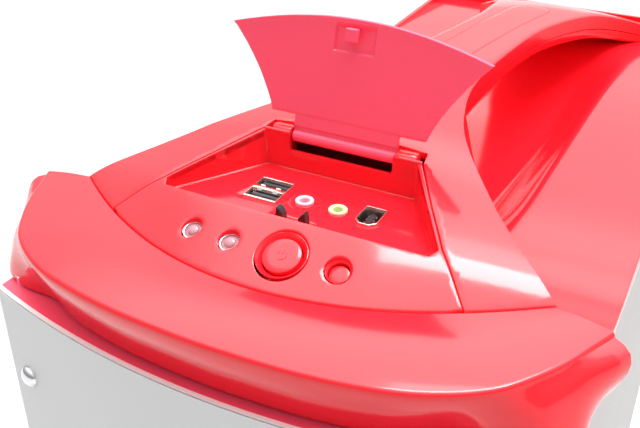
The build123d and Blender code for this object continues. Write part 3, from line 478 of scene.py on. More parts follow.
def make_console():
    """Console: skin, tray walls and floor."""
    front = [(x, float(seam_y(x)) + SEAM_GAP) for x in np.linspace(0, SEAM_HALF, 18)]
    tray_edge = [(x, float(tray_front_y(x))) for x in np.linspace(49.0, 0, 15)]
    window = [(31.0, 0.8), (30.2, 0.8), (29.7, 0.0)]
    outline = both(front[:-1] + SIDE_SEAM[:-1] + window + TRAY_RIM[1::-1] + tray_edge)
    holes = [circle(*POWER, RING_R), circle(*RESET, RESET_R)] + [circle(*led, LED_R) for led in LEDS]
    top = skin(outline, holes, plateau, SHELL_T, fillet=0.45, step=1.2)
    loop = turned(resample(tray_outline(), 1.5), True)
    rim_z = plateau(loop[:, 0], loop[:, 1])
    wall, under = 1.8, -1.9
    rows = [np.column_stack([inset(loop, -0.8), rim_z - 2.0]), np.column_stack([loop, rim_z - 0.5])]
    for share in (0.0, 0.3, 0.65, 1.0):
        angle = share * math.pi / 2
        ring = inset(loop, TRAY_CORNER * (1 - math.cos(angle)))
        rows.append(np.column_stack([ring, np.full(len(ring), TRAY_CORNER * (1 - math.sin(angle)))]))
    rows.append(np.column_stack([inset(loop, TRAY_CORNER), np.full(len(loop), under)]))
    rows.append(np.column_stack([inset(loop, -wall), np.full(len(loop), under)]))
    rows.append(np.column_stack([inset(loop, -wall), rim_z - 2.0]))
    for row in rows:
        rear = (np.abs(row[:, 0]) < WINDOW_X) & (row[:, 1] > -4)
        row[rear, 2] = np.minimum(row[rear, 2], WINDOW_Z)
    points, faces = lattice(rows + rows[:1], around=True)
    count = len(points) - len(loop)      # the last row is the first one again
    walls = points[:count], [tuple(i % count for i in face) for face in faces]
    floor_loop = inset(loop, TRAY_CORNER * 0.9)[::2]
    ports = [box_loop(USB[0] - USB_X, USB[0] + USB_X, USB[1] - USB_Y, USB[1] + USB_Y, 0.5, 3),
             circle(*MIC, JACK_R), circle(*PHONES, JACK_R), six_outline(-0.15),
             box_loop(LATCH[0] - LATCH_X, LATCH[0] + LATCH_X, LATCH[1] - LATCH_Y, LATCH[1] + LATCH_Y, 0.5, 3)]
    floor = skin(floor_loop, ports, lambda x, y: 0.0 * x, wall, fillet=0.25, step=2.5)
    build("console_shell", [top, walls, floor], "case", RED, ["io_console"])


def six_outline(shrink):
    """Plan of the six-pin port: square corners at the rear, cut corners at the front."""
    x, y = SIX_X - 0.05 - shrink, SIX_Y - 0.05 - shrink
    cut = 2.2
    local = [(-x, y), (x, y), (x, -y + cut), (x - cut, -y), (-x + cut, -y), (-x, -y + cut)]
    return [(SIX[0] + px, SIX[1] + py) for px, py in local]


make_console()

# ------------------------------------------------------------------ flanks, deck and handle

crease_x = curve([-32, -22, -8, 5, 18, 28.5, 40, 52, 60, 66, 72, 80],
                 [88, 75.4, 60.9, 50.5, 42.0, 36.5, 32.0, 28.2, 23.5, 14.0, 0.0, -30.0])
edge_z = curve([-36, -22, 0, 22, 50, 80, 120, 240, 290, 325, 390],
               [-7, -20, -33, -40, -41, -41, -42, -45, -48, -49.5, -53])
trough = curve([40, 60, 90, 120, 240, 285, 325, 390], [0, 8, 22, 25, 26, 18, 2, 0])
cove = curve([-34, -20, -5, 10, 30, 55, 75], [12, 28, 38, 36, 30, 24, 26])
fall = curve([-34, 10, 40, 62, 80], [2.2, 2.4, 2.2, 1.5, 1.5])
half_case = curve([-36, -10, 20, 45, 390], [104.5, 103.2, 102.0, 101.5, 101.5])
SKIRT_FRONT, SKIRT_SIDE = 103.2, 101.6   # half width of the skirts' lower edge, in front and along the sides
SKIRT_LOW = -47.0                        # height of that edge
SKIRT_T = 2.2
REAR_Y = 389.4


def deck(x, y):
    """Height of the deck, with the hollow under the handle."""
    return edge_z(y) - trough(y) * (1 - ease(24, 52, np.abs(x)))


def cover_z(x, y):
    """Height of the cover without the handle: flank, then the cove down to the deck."""
    x, y = np.abs(np.asarray(x, float)), np.asarray(y, float)
    line = crease_x(y)
    away = np.maximum(x - line, 0)
    low, high = deck(x, y), plateau(np.maximum(line, 0), y)
    share = np.clip(1 - away / cove(y), 0, 1) ** fall(y)
    outside = low + (high - low) * share
    return np.where(x < line, plateau(x, y), outside)


def make_cover():
    """Flanks and deck in one moulding, down to the side panels."""
    front = [(SEAM_HALF + 0.5, float(seam_y(SEAM_HALF + 0.5)) + SEAM_GAP)]
    front += [(x, float(seam_y(x)) + SEAM_GAP) for x in np.linspace(69, EAR_SEAM, 6)]
    side = [(104.3, -35.0)] + [(float(half_case(y)), y) for y in (-20, -5, 10, 25, 45, 120, 240, 389.5)]
    inner = [(31.4, 1.2), (41.7, -16.6), (52.2, -33.1)]
    outline = front + side + [(-x, y) for x, y in reversed(front + side)]
    outline = outline + [(-52.2, -33.1), (-41.7, -16.6), (-31.4, 1.2), (-30.4, 7.6), (30.4, 7.6)] + inner
    crease = [(float(crease_x(y)), float(y)) for y in np.linspace(-31.5, 58, 40)]
    lines = [crease, [(-x, y) for x, y in crease]]
    shell = skin(outline, [], cover_z, SHELL_T, fillet=0.45, step=2.4, seams=lines)
    ys = np.concatenate([np.linspace(-34.5, 60, 24), np.linspace(75, 389.3, 22)])
    skirts = []
    for sign in (1, -1):
        rows = []
        for y in ys:
            x, top = float(half_case(y)), float(edge_z(y))
            x_low = SKIRT_FRONT + (SKIRT_SIDE - SKIRT_FRONT) * float(ease(-30, 30, y))
            x_mid = x * 0.5 + x_low * 0.5 + 0.2
            rows.append([(sign * (x - 0.25), y, top - 0.35), (sign * x, y, top - 1.2),
                         (sign * x_mid, y, (top + SKIRT_LOW) / 2), (sign * x_low, y, SKIRT_LOW)])
        skirts.append(sheet(rows, (-sign * SKIRT_T, 0, 0)))
    rear = [[(x, REAR_Y, float(deck(x, REAR_Y)) - 0.4), (x, REAR_Y, SKIRT_LOW)]
            for x in np.linspace(-101, 101, 31)]
    skirts.append(sheet(rear, (0, -SKIRT_T, 0)))
    build("cover_shell", [shell] + skirts, "case", RED, ["top_cover"], sharp=28)


make_cover()

half_width = curve([20, 40, 59, 73, 90, 117, 147, 177, 209, 234, 262, 289, 312, 334, 352, 366],
                   [38, 32, 26.6, 23.8, 21.9, 20.5, 19.7, 19.3, 20.2, 22.6, 26.4, 31.2, 37.5, 46, 56, 66])
band_high = curve([30, 44, 60, 100, 150, 222, 290, 326, 366], [1, 5, 10, 14, 14.5, 14.5, 15, 14, 12])
PAD_FRONT = 62.0


def handle_section(y, low_share, high_share, count=17):
    """Ring of points round the handle, between two shares of its side band's height (1 = the upper edge)."""
    half, tall = float(half_width(y)), float(band_high(y))
    top_edge = float(plateau(half, y)) - 1.0
    low, high = top_edge - tall * (1 - low_share), top_edge - tall * (1 - high_share)
    ring = []
    if high_share == 1.0:
        for x in np.linspace(-half + 1.2, half - 1.2, count):
            ring.append((x, y, float(plateau(x, y))))
        ring += [(half - 0.35, y, high + 0.55), (half, y, high)]
        ring += [(half - 0.2, y, (high + low) / 2), (half - 0.8, y, low)]
        ring += [(x, y, low) for x in np.linspace(half - 2.5, -half + 2.5, 7)]
        ring += [(-half + 0.8, y, low), (-half + 0.2, y, (high + low) / 2), (-half, y, high),
                 (-half + 0.35, y, high + 0.55)]
    else:
        ring += [(half - 0.8, y, high), (half - 1.2, y, (high + low) / 2), (half - 2.6, y, low + 0.9),
                 (half - 4.6, y, low)]
        ring += [(x, y, low - 0.6) for x in np.linspace(half * 0.5, -half * 0.5, 5)]
        ring += [(-half + 4.6, y, low), (-half + 2.6, y, low + 0.9), (-half + 1.2, y, (high + low) / 2),
                 (-half + 0.8, y, high)]
        ring += [(x, y, high) for x in np.linspace(-half + 3, half - 3, 5)]
    return ring


def make_handle():
    """Upper and lower halves of the carry handle, either side of the parting line."""
    upper = [handle_section(y, 0.47, 1.0) for y in np.linspace(36, 364, 84)]
    lower = [handle_section(y, 0.0, 0.44) for y in np.linspace(42, 350, 78)]
    upper = lattice(upper, around=True, capped=True)
    lower = lattice(lower, around=True, capped=True)
    build("handle_upper", [upper], "case", RED, sharp=30)
    build("handle_under", [lower], "case", RED, ["handle_lower_shell"], sharp=30)


make_handle()


def pad_height(x, y):
    """Top of the grip pad, a little above the handle's skin."""
    return plateau(x, y) + 0.12


def make_pad():
    """Grip pad with a rounded rear end, set off by a fine dark line of painted shade in the gap round it."""
    widths = curve([PAD_FRONT, 136, 200, 250], [8.6, 8.9, 9.9, 11.0])
    side = [(float(widths(y)), y) for y in np.linspace(PAD_FRONT, 250, 12)]
    tail = [(10.6, 255), (8.6, 259.5), (5.0, 262), (0, 263)]
    outline = both([(0, PAD_FRONT)] + side + tail)
    pad = skin(outline, [], pad_height, 1.2, fillet=0.5, step=2.4)
    build("handle_grip_pad", [pad], "case", RED, ["handle_pad"])
    # A dark red sheet a little wider than the pad, just under its top: painted shade in the gap round the
    # pad.
    wide = [tuple(p) for p in inset(turned(resample(outline, 2.4), True), -0.35)]
    seam = skin(wide, [], shifted(plateau, -0.03), 0.8, fillet=0.05, step=2.4)
    build("handle_pad_shade_line", [seam], "case", SHADOW_RED)


make_pad()

# ------------------------------------------------------------------ crown and bezel

CROWN_T = 2.4
LIP_RADIUS = 1.5
LIP = [(0, -96.0), (14, -95.6), (34, -94.0), (50, -91.2), (61, -88.3), (73, -82.8), (84, -74.8), (92, -64.6),
       (98, -54.6), (103, -43.4), (106.5, -35.6)]


def lip_curve(count):
    """Points along the lip from the left ear round to the right ear, evenly spaced."""
    half = np.array(LIP)
    whole = np.concatenate([half[::-1] * (-1, 1), half[1:]])
    lengths = np.concatenate([[0], np.cumsum(np.linalg.norm(np.diff(whole, axis=0), axis=1))])
    fx, fy = curve(lengths, whole[:, 0]), curve(lengths, whole[:, 1])
    s = np.linspace(0, lengths[-1], count)
    return np.stack([fx(s), fy(s)], 1)


def crown_seam(share):
    """Seam point that faces a lip point: share runs from -1 at the left ear to 1 at the right."""
    x = EAR_SEAM * share
    return x, float(seam_y(x))


# Face of the crown below its edge: (distance outside the edge, depth) along the middle, at the front
# corners, and at the tips of the ears.
MIDDLE = [(-0.2, 1.4), (-0.9, 4.0), (-2.2, 7.4), (-3.9, 11.2),
          (-5.6, 14.8), (-7.0, 17.8), (-7.9, 20.4), (-8.3, 22.2)]
CORNER = [(0.6, 1.2), (1.8, 3.2), (3.4, 6.0), (4.8, 9.6), (5.8, 13.0), (6.9, 16.6), (7.8, 19.8), (8.2, 22.2)]
TIP = [(3.4, 0.8), (5.9, 2.6), (6.7, 5.6), (6.3, 9.6), (5.1, 13.2), (3.7, 16.6), (2.2, 19.8), (1.0, 22.2)]
SEAM_TO_LIP = (0.0, 0.012, 0.05, 0.15, 0.3, 0.45, 0.6, 0.75, 0.88)   # shares of the way across the top


def crown_top(x):
    """Height of the crown's nearly flat top."""
    return -4.6 - 0.9 * (abs(x) / 100) ** 2


def make_crown():
    """Crown: nearly flat top, rounded lip and undercut face, as one swept skin with a thickness."""
    lip = lip_curve(141)
    tangent = np.gradient(lip, axis=0)
    tangent /= np.linalg.norm(tangent, axis=1)[:, None]
    out = np.stack([tangent[:, 1], -tangent[:, 0]], 1)
    rows = []
    for i, ((lx, ly), (ox, oy)) in enumerate(zip(lip, out)):
        share = -1 + 2 * i / (len(lip) - 1)
        sx, sy = crown_seam(share)
        ear = float(ease(0.56, 0.78, abs(share)))
        seam_z = float(plateau(sx, sy)) - 0.1
        lip_z = crown_top(lx)
        row = []
        for t in SEAM_TO_LIP:
            px, py = sx + (lx - sx) * t, sy + (ly - sy) * t
            bulge = math.sin(math.pi * t) * (1 - 0.5 * ear)
            row.append((px, py, seam_z + (lip_z - seam_z) * t + bulge - (0.45 if t == 0 else 0)))
        for angle in (0, 22, 45, 67, 90):
            a = math.radians(angle)
            back = LIP_RADIUS * (1 - math.sin(a))
            row.append((lx - ox * back, ly - oy * back, lip_z - LIP_RADIUS * (1 - math.cos(a))))
        tip = float(ease(0.82, 1.0, abs(share)))
        for middle, corner, end in zip(MIDDLE, CORNER, TIP):
            side = np.array(corner) * (1 - tip) + np.array(end) * tip
            offset, down = side * ear + np.array(middle) * (1 - ear)
            row.append((lx + ox * offset, ly + oy * offset, lip_z - LIP_RADIUS - down))
        rows.append(row)
    top = np.array(rows)
    inner = top.copy()
    last = top.shape[1] - 1
    first = len(SEAM_TO_LIP)             # from here on the inner layer also moves inward
    inner[:, :, 2] -= np.interp(np.arange(last + 1), [0, 10, 15, last], [CROWN_T, CROWN_T, 0.5, 0])
    inner[:, first:, :2] -= out[:, None, :] * CROWN_T
    ring_rows = [np.concatenate([upper, lower[::-1]]) for upper, lower in zip(top, inner)]
    build("crown_shell", [lattice(ring_rows, around=True, capped=True)], "case", RED, sharp=34)


make_crown()

DOOR_TOP, DOOR_BOTTOM = -30.0, -464.0
DOOR_HALF, DOOR_BACK = 96.0, -66.0
DOOR_AXIS = (-90.5, -71.5)
STUD_X, STUD_Z = 85.0, (-64.0, -430.0)
PANEL_X = 101.2
PANEL_REAR = 389.3
GROUND = -490.0


def plate_y(x, offset=0.0):
    """Plan of the door plate's outer face."""
    return -92.5 + 16.0 * (np.asarray(x, float) / 100) ** 2 + offset


def upright_band(xs, z_low, z_high, front, back, bevel=0.4):
    """Curved upright panel between two distances behind the door plate's face, with bevelled edges."""
    rows = []
    for x in xs:
        near, far = float(plate_y(x, front)), float(plate_y(x, back))
        rows.append([(x, near + bevel, z_low), (x, near, z_low + bevel), (x, near, z_high - bevel),
                     (x, near + bevel, z_high), (x, far, z_high), (x, far, z_low)])
    return lattice(rows, around=True, capped=True)


def make_front():
    """Cheeks, sill and groove wall behind and round the door."""
    parts = [upright_band(np.linspace(-76, 76, 51), DOOR_TOP + 1, -12, 10.5, 13)]
    parts.append(upright_band(np.linspace(-100, 100, 61), GROUND + 12, DOOR_BOTTOM - 1, 1.0, 26, 1.2))
    for sign in (1, -1):
        rows = []
        for z in [GROUND + 12, GROUND + 13.5, *np.linspace(GROUND + 20, -40, 12), -32.5, -31.5]:
            ear = 2.2 * float(ease(-60, -16, z))
            trim = 0.8 if z < GROUND + 13 else 0.0
            section = [(96.6, -56), (97.0 + trim, -60.0), (99.0 - trim, -62.5), (102.4 + ear - trim, -61.9),
                       (103.7 + ear - trim, -59.5), (104.0 + 0.6 * ear - trim, -50), (103.8 - trim, -37.3),
                       (101.2, -37.3), (101.0, -48), (100.4, -56)]
            rows.append([(sign * x, y, z) for x, y in section])
        parts.append(lattice(rows, around=True, capped=True))
    for sign in (1, -1):
        corners = ((-62.0, GROUND + 13), (-62.0, -32), (-59.6, -32), (-59.6, GROUND + 13))
        rows = [[(sign * x, y, z) for y, z in corners] for x in np.linspace(76, 98, 5)]
        parts.append(lattice(rows, around=True, capped=True))
    build("front_shell", parts, "case", RED, ["front_bezel"], sharp=40)


make_front()


def make_door():
    """Curved metal plate with its top edge painted near white as a highlight, the moulded door behind it, and
    the domed screws.
    """
    xs = np.linspace(-DOOR_HALF, DOOR_HALF, 81)
    plate = upright_band(xs, DOOR_BOTTOM, DOOR_TOP, 0.0, 1.95, 0.3)
    build("door_skin", [plate], "door", PLATE, ["door_plate"], sharp=25)
    # Band over the plate's top edge in that near white: painted highlight.
    edge = upright_band(xs, DOOR_TOP - 0.9, DOOR_TOP + 0.1, -0.1, 1.95, 0.5)
    build("door_edge_highlight", [edge], "door", PLATE_EDGE_HIGHLIGHT, sharp=25)
    rows = []
    for x in np.linspace(-DOOR_HALF, DOOR_HALF, 61):
        near = float(plate_y(x, 2.0))
        rows.append([(x, near, DOOR_BOTTOM), (x, near, DOOR_TOP), (x, DOOR_BACK - 0.5, DOOR_TOP),
                     (x, DOOR_BACK, DOOR_TOP - 0.5), (x, DOOR_BACK, DOOR_BOTTOM)])
    ring = lattice(rows, around=True, capped=True)
    barrel = lathe([(0, 0.2), (4.7, 0.2), (5.0, 0.5), (5.0, 433.4), (4.7, 433.7), (0, 433.7)],
                   (*DOOR_AXIS, DOOR_BOTTOM))
    build("door_moulding", [ring, barrel], "door", PINK, ["door_frame"], sharp=30)
    domes = []
    dome = [(0, -0.2), (4.2, -0.2), (4.25, 0.5), (4.0, 1.3), (3.2, 2.1), (1.9, 2.75), (0.7, 2.95), (0, 3.0)]
    for x in (-STUD_X, STUD_X):
        for z in STUD_Z:
            domes.append(lathe(dome, (x, float(plate_y(x)) + 0.2, z), (0.32 * x / 100, -1, 0)))
    build("door_studs", domes, "door", CHROME, ["door_screws"])


make_door()


def make_side_panels():
    """Sliding side panels: pressed sheet with a shallow raised field and a turned rear edge."""
    for sign, body, node in ((-1, "panel_left", "side_panel_left"), (1, "panel_right", "side_panel_right")):
        ys = [-36.6, -36.2, -20, -16, -12, 100, 220, 340, 364, 368, 372, 388.8, PANEL_REAR]
        zs = [-472.0, -471.6, -452, -448, -444, -350, -250, -150, -80, -76, -72, -48.4, -48.0]
        rows = []
        for y in ys:
            row = []
            for z in zs:
                field = ease(-20, -12, y) * ease(-372, -364, -y) * ease(-452, -444, z) * ease(72, 80, -z)
                edge = 0.35 if y in (ys[0], ys[-1]) or z in (zs[0], zs[-1]) else 0.0
                row.append((sign * (PANEL_X + 0.7 * float(field) - edge), y, z))
            rows.append(row)
        face = sheet(rows, (-sign * 0.9, 0, 0))
        corners = ((85.2, 388.4), (85.2, PANEL_REAR), (101.0, PANEL_REAR), (101.0, 388.4))
        flange = [[(sign * x, y, z) for x, y in corners] for z in (-470, -369, -366, -300, -180, -100, -64)]
        parts = [face, lattice(flange, around=True, capped=True)]
        build(body + "_sheet", parts, body, PAINT, [node], sharp=25)


make_side_panels()

# ------------------------------------------------------------------ buttons and lamps


def band_ring(profile, point):
    """Lathed piece standing on the button band."""
    return lathe(profile, on_band(point), BAND_UP, 64)


def make_buttons():
    """Power and reset buttons, their rings, and the lamps."""
    ring = [(6.7, -4.5), (6.7, -1.9), (6.85, -1.65), (8.1, -0.3), (8.4, 0.05), (8.62, -0.05), (8.67, -4.5)]
    build("power_surround", [band_ring(ring, POWER)], "case", RED, ["power_ring"])
    cap = [(0, -4.0), (6.4, -4.0), (6.4, -0.75), (6.3, -0.45), (6.0, -0.28), (4.0, -0.2), (0, -0.18)]
    arc, bar = [], []
    tilt = Matrix.Rotation(BAND_TILT, 3, "X")
    centre = Vector(on_band(POWER))
    arc_section = ((1.35, -0.4), (1.4, -0.02), (1.75, -0.02), (1.8, -0.4))
    bar_section = ((-0.22, -0.4), (-0.19, -0.02), (0.19, -0.02), (0.22, -0.4))
    for i in range(25):
        a = math.radians(130 + i * 280 / 24)
        local = [Vector((radius * math.cos(a), radius * math.sin(a), lift)) for radius, lift in arc_section]
        arc.append([tuple(centre + tilt @ point) for point in local])
    for y in (0.5, 0.6, 1.9, 2.0):
        bar.append([tuple(centre + tilt @ Vector((x, y, z))) for x, z in bar_section])
    symbol = [lattice(arc, around=True, capped=True), lattice(bar, around=True, capped=True)]
    build("power_cap", [band_ring(cap, POWER)] + symbol, "power_key", RED, ["power_button"])
    sleeve = [(3.55, -7), (3.55, -1.6), (3.75, -1.3), (4.25, -0.9), (4.32, -1.4), (4.32, -7)]
    build("reset_surround", [band_ring(sleeve, RESET)], "case", RED, ["reset_sleeve"])
    key = [(0, -7), (3.35, -7), (3.35, -2.9), (3.15, -2.5), (2.6, -2.35), (0, -2.3)]
    build("reset_cap", [band_ring(key, RESET)], "reset_key", RED, ["reset_button"])
    lens = [(0, -4.4), (3.0, -4.4), (3.0, -2.3), (2.85, -2.1), (2.0, -2.0), (1.75, -1.3),
            (1.2, -0.95), (0, -0.85)]
    liner = [(3.05, -5), (3.05, -1.9), (3.2, -1.7), (3.5, -1.6), (3.56, -2), (3.56, -5)]
    build("lamp_lenses", [band_ring(lens, lamp) for lamp in LEDS], "case", LENS, ["led_lenses"])
    build("lamp_liners", [band_ring(liner, lamp) for lamp in LEDS], "case", CHROME)


make_buttons()

# ------------------------------------------------------------------ ports and latch


def well(outline, holes, top, floor, rim=0.25):
    """Block with open wells, given as a plan skin down to a floor."""
    return skin(outline, holes, lambda x, y: 0 * x + top, top - floor, fillet=rim, step=1.2)


def make_ports():
    """Paired flat ports, jacks and the six-pin port."""
    ux, uy = USB
    outer = box_loop(ux - 6.6, ux + 6.6, uy - 7.7, uy + 7.7, 0.6)
    middles = (uy - 3.85, uy + 3.85)
    slots = [box_loop(ux - 6.05, ux + 6.05, y - 2.55, y + 2.55) for y in middles]
    shell = well(outer, slots, 0.6, -8.0)
    leaves = []
    leaf = ((0.0, 0.5), (0.5, 0.85), (1.2, 0.1), (0.9, -0.1), (0.3, 0.3))
    for side in (-1, 1):
        for x in (-3.1, 3.1):
            y = uy + side * 0.7
            rows = [[(ux + x + dx, y + side * dy, z) for dy, z in leaf] for dx in (-0.9, 0.9)]
            leaves.append(lattice(rows, around=True, capped=True))
    build("flat_port_shell", [shell] + leaves, "case", PORT, ["usb_shell"])
    tongues, contacts = [], []
    for side in (-1, 1):
        y = uy + side * 3.85 + 0.9
        tongues.append(prism(box_loop(ux - 5.4, ux + 5.4, y - 0.8, y + 0.8), -7.0, -0.7, 0.2))
        for x in (-3.5, -1.2, 1.2, 3.5):
            contact = box_loop(ux + x - 0.5, ux + x + 0.5, y - 1.0, y - 0.75, 0.05)
            contacts.append(prism(contact, -6.5, -1.2, 0.05))
    build("flat_port_tongues", tongues, "case", GREY, ["usb_tongues"])
    build("flat_port_contacts", contacts, "case", PORT)
    back = [prism(box_loop(ux - 6.0, ux + 6.0, uy - 6.4, uy + 6.4), -7.9, -7.0)]
    sx, sy = SIX
    six_back = [(sx - 3.4, sy - 5.2), (sx + 3.4, sy - 5.2), (sx + 3.4, sy + 5.2), (sx - 3.4, sy + 5.2)]
    back.append(prism(six_back, -7.9, -7.0))
    build("port_wells", back, "case", BLACK)
    ring = [(0, -13.4), (3.25, -13.4), (3.3, -13.2), (3.3, 0.25), (3.1, 0.5), (2.7, 0.6),
            (2.2, 0.55), (1.85, 0.2), (1.8, -0.2), (1.8, -12), (0, -12)]
    pink, green = lathe(ring, (*MIC, 0)), lathe(ring, (*PHONES, 0))
    build("microphone_socket", [pink], "case", JACK_PINK, ["microphone_jack"])
    build("headphone_socket", [green], "case", JACK_GREEN, ["headphone_jack"])
    rim = well(rounded(six_outline(0.0), 0.5, 4), [rounded(six_outline(0.6), 0.4, 4)], 0.7, -8.0, 0.22)
    build("six_pin_rim", [rim], "case", PORT, ["six_pin_shell"])
    block = prism(box_loop(sx - 1.1, sx + 1.1, sy - 3.5, sy + 3.5), -7, -0.9, 0.25)
    build("six_pin_block", [block], "case", BLACK, ["six_pin_insulator"])
    pins = []
    for side in (-1, 1):
        x = sx + side * 1.35
        for y in (-2.2, 0, 2.2):
            pin = box_loop(x - 0.22, x + 0.22, sy + y - 0.4, sy + y + 0.4, 0.05)
            pins.append(prism(pin, -6.8, -1.1, 0.05))
    build("six_pin_contacts", pins, "case", PORT)


make_ports()


def make_latch():
    """Cup and bevelled jaws of the touch latch."""
    lx, ly = LATCH
    cup = well(box_loop(lx - 7.5, lx + 7.5, ly - 2.5, ly + 2.5, 0.5),
               [box_loop(lx - 6.9, lx + 6.9, ly - 1.9, ly + 1.9, 0.4)], -0.1, -6.0)
    base = prism(box_loop(lx - 7.3, lx + 7.3, ly - 2.3, ly + 2.3, 0.5), -8.0, -5.8, 0.2)
    build("latch_cup", [cup, base], "case", RED, ["latch_housing"])
    profile = np.array([(-1.4, -2.2), (1.2, -2.2), (1.2, 3.0), (1.4, 6.4),
                        (0.9, 9.6), (-0.3, 8.9), (-1.6, 7.0)])
    for side, body, node in ((-1, "jaw_left", "latch_jaw_left"), (1, "jaw_right", "latch_jaw_right")):
        rows = []
        for y, amount in ((-1.6, 0.2), (-1.4, 0.0), (1.4, 0.0), (1.6, 0.2)):
            ring = inset(turned(profile, True), amount)
            rows.append([(lx + side * (4.4 + px), ly + y, -4.0 + pz) for px, pz in ring])
        jaw = lattice(rows, around=True, capped=True)
        build(body + "_shell", [jaw], body, BLACK, [node])


make_latch()

# ------------------------------------------------------------------ lid

LID_LEAN = math.radians(76.5)
LID_T = 2.4
BARREL_R, BARREL_X = 2.2, 20.2
LUG_R = 3.4


def on_lid(points):
    """From the lid's own frame (across, from hinge to free edge, out of the inner face) to the tray datum."""
    points = np.asarray(points, float)
    c, s = math.cos(LID_LEAN), math.sin(LID_LEAN)
    x, y, z = points[..., 0], points[..., 1], points[..., 2]
    return np.stack([x, PIN[1] + y * c - z * s, PIN[2] + y * s + z * c], -1)


def turned_to_lid(part):
    """A part drawn in the lid's frame, placed."""
    return on_lid(part[0]), part[1]


def make_lid():
    """Fan-shaped lid: rim along the free edge, pocket, faint marks, hinge barrel, outer face and strike."""
    half = [(BARREL_X, 7.9), (30.0, 7.9), (31.0, 11.0), (32.5, 14.2), (34.6, 18.2),
            (36.8, 22.0), (39.6, 26.0), (42.6, 30.0), (45.8, 33.7), (49.1, 37.3)]
    free = [(43.4, 38.9), (37, 40.5), (31, 41.8), (25, 42.9), (18.5, 43.8), (12, 44.5), (6, 44.8)]
    outline = half + free + [(0, 44.9)] + [(-x, y) for x, y in reversed(half + free)]
    edge_line = curve([0, 12, 25, 37, 49.3], [44.9, 44.5, 42.9, 40.5, 37.3])
    marks = ((-23.7, 13.6, 2.6), (26.0, 13.9, 2.6), (41.5, 37.0, 1.8), (-37.5, 37.0, 2.6))

    def inner(x, y):
        rim = 0.35 * (1 - ease(0.8, 1.5, edge_line(np.abs(x)) - y))
        dent = (ease(-8.0, -7.6, x) - ease(7.0, 7.4, x)) * (ease(33.2, 33.6, y) - ease(42.2, 42.6, y))
        face = LID_T / 2 - 0.1 + rim - 1.0 * dent
        for cx, cy, radius in marks:
            gap = np.abs(np.hypot(x - cx, y - cy) - radius)
            face = face - 0.07 * (1 - ease(0.1, 0.45, gap))
        return face

    outer = (lambda x, y: 0 * x - LID_T / 2)
    seams = [[(-7.8, y), (7.2, y)] for y in (33.0, 33.7)]
    seams += [[(x, 33.4), (x, 42.4)] for x in (-8.1, -7.5, 6.9, 7.5)]
    body = skin(outline, [], inner, LID_T, fillet=0.35, step=1.1, seams=seams, low=outer)
    section = ((1.0, -1.0), (8.4, -1.0), (8.4, 1.05), (4.0, 1.05), (3.4, 0.5), (1.0, 0.5))
    tongue = [[(x, y, z) for y, z in section] for x in (-BARREL_X, BARREL_X)]
    end = [(BARREL_R, BARREL_X - 0.3), (BARREL_R - 0.3, BARREL_X), (0, BARREL_X)]
    barrel = lathe([(radius, -x) for radius, x in reversed(end)] + end, (0, 0, 0), (1, 0, 0), 40)
    parts = [turned_to_lid(part) for part in (body, lattice(tongue, around=True, capped=True), barrel)]
    build("lid_shell", parts, "lid", PINK, ["io_lid"], sharp=40)
    cap_outline = [(x * 0.985, 8.2 + (y - 7.9) * 0.98) for x, y in outline]
    cap = skin(cap_outline, [], lambda x, y: 0 * x - 0.8, 0.52, fillet=0.2, step=1.6)
    build("lid_face", [turned_to_lid(cap)], "lid", RED)
    x = LATCH[0]
    strike = prism(box_loop(x - 2.3, x + 2.3, 37.2, 42.0, 0.5), 2.6, 4.6, 0.4)
    neck = prism(box_loop(x - 1.6, x + 1.6, 37.4, 41.8, 0.4), -0.3, 2.8, 0.1)
    build("lid_catch", [turned_to_lid(strike), turned_to_lid(neck)], "lid", PINK, ["lid_strike"])


make_lid()


def make_lugs():
    """Rounded lugs on the console that carry the hinge pin, and the low walls behind the tray beside them."""
    parts = []
    for sign in (1, -1):
        rows = []
        for x in (20.6, 20.9, 21.5, 24.5, 27.4, 28.2, 28.5):
            trim = {20.6: 0.7, 20.9: 0.25, 28.2: 0.3, 28.5: 0.9}.get(x, 0.0)
            radius = LUG_R - trim
            row = [(sign * x, 7.2 - trim, 4.0)]
            for angle in np.linspace(0, 180, 17):
                a = math.radians(angle)
                row.append((sign * x, PIN[1] + radius * math.cos(a), PIN[2] + radius * math.sin(a)))
            row.append((sign * x, 0.5 + trim, 4.0))
            rows.append(row)
        parts.append(lattice(rows, around=True, capped=True))
        wall = ((0.1, 6.6), (1.5, 6.6), (1.5, 14.2), (1.3, 14.5), (0.3, 14.5), (0.1, 14.2))
        rows = [[(sign * x, y, z) for y, z in wall] for x in (20.45, 24.0, 28.0, 31.0)]
        parts.append(lattice(rows, around=True, capped=True))
    build("hinge_lugs", parts, "case", RED)


make_lugs()

# ------------------------------------------------------------------ camera, stage and light

CAMERA_AT = (123.736, -254.559, 154.936)
CAMERA_AZIMUTH, CAMERA_DIP, CAMERA_ROLL = 0.476223, 0.538691, 0.002629   # radians
SENSOR, FOCAL = 36.0, 50.187                                             # millimetres
FLOOR_HALF = 6.0                                                         # metres, as are the lights' sizes
SKY_LEAN = math.radians(20)
SKY_STEPS = ((0.0, 0.1), (0.35, 0.2), (0.5, 0.3), (0.7, 0.38), (0.83, 0.95), (1.0, 1.05))
SKY_STRENGTH = 3.4


def make_camera():
    """Camera at the place, angle and lens fitted to the photo."""
    az, dip, roll = CAMERA_AZIMUTH, CAMERA_DIP, CAMERA_ROLL
    ahead = Vector((-math.sin(az) * math.cos(dip), math.cos(az) * math.cos(dip), -math.sin(dip)))
    right = Vector((math.cos(az), math.sin(az), 0))
    up = right.cross(ahead)
    right, up = right * math.cos(roll) + up * math.sin(roll), up * math.cos(roll) - right * math.sin(roll)
    data = bpy.data.cameras.new("camera")
    data.sensor_width = SENSOR
    data.lens = FOCAL
    data.clip_start, data.clip_end = 0.01, 50
    cam = bpy.data.objects.new("camera", data)
    turn = Matrix((right, up, -ahead)).transposed().to_4x4()
    cam.matrix_world = Matrix.Translation(world(CAMERA_AT)) @ turn
    bpy.context.scene.collection.objects.link(cam)
    bpy.context.scene.camera = cam


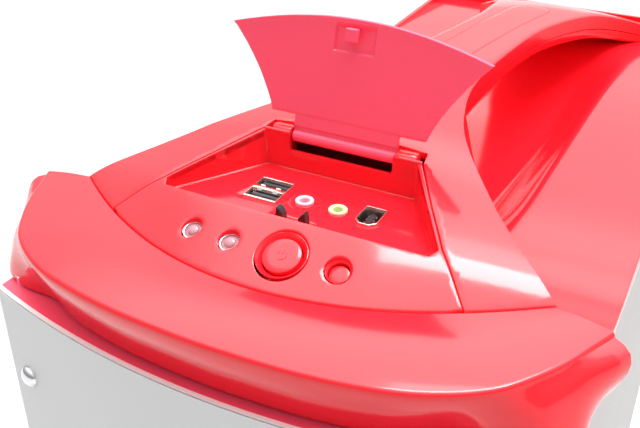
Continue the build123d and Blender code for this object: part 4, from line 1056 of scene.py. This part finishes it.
def make_stage():
    """Floor of mid grey, which the strong light renders as white."""
    corners = [(x * FLOOR_HALF, y * FLOOR_HALF, 0) for x, y in ((-1, -1), (1, -1), (1, 1), (-1, 1))]
    mesh = bpy.data.meshes.new("floor")
    mesh.from_pydata(corners, [], [(0, 1, 2, 3)])
    floor = bpy.data.objects.new("floor", mesh)
    mesh.materials.append(material("floor_pale", (0.5, 0.5, 0.5), 0.9, mottle=0.005))
    bpy.context.scene.collection.objects.link(floor)


def area_light(name, at, turn, size, size_y, power):
    """Soft rectangular light that faces straight down, turned about the vertical."""
    data = bpy.data.lights.new(name, "AREA")
    data.shape = "RECTANGLE"
    data.size, data.size_y = size, size_y
    data.energy = power
    light = bpy.data.objects.new(name, data)
    light.location = at
    light.rotation_euler = (0, 0, turn)
    bpy.context.scene.collection.objects.link(light)


def make_light():
    """Graded surroundings, brightest above, and two softboxes overhead that the moulded top mirrors."""
    scene = bpy.context.scene
    scene.world = bpy.data.worlds.new("surroundings")
    scene.world.use_nodes = True
    nodes, links = scene.world.node_tree.nodes, scene.world.node_tree.links
    place = nodes.new("ShaderNodeTexCoord")
    lean = nodes.new("ShaderNodeMapping")
    lean.inputs["Rotation"].default_value = (SKY_LEAN, 0, 0)
    split = nodes.new("ShaderNodeSeparateXYZ")
    ramp = nodes.new("ShaderNodeValToRGB")
    for position, value in SKY_STEPS:
        element = ramp.color_ramp.elements[0] if position == 0 else ramp.color_ramp.elements.new(position)
        element.position, element.color = position, (value, value, value, 1)
    links.new(place.outputs["Generated"], lean.inputs["Vector"])
    links.new(lean.outputs["Vector"], split.inputs["Vector"])
    links.new(split.outputs["Z"], ramp.inputs["Fac"])
    links.new(ramp.outputs["Color"], nodes["Background"].inputs["Color"])
    nodes["Background"].inputs["Strength"].default_value = SKY_STRENGTH
    scene.view_settings.view_transform = "Standard"
    area_light("softbox", (0.36, 0.27, 2.0), 0.25, 1.06, 0.5, 24)
    area_light("softbox_far", (0.26, 0.66, 2.02), 0.25, 1.06, 0.4, 5)


make_camera()
make_stage()
make_light()
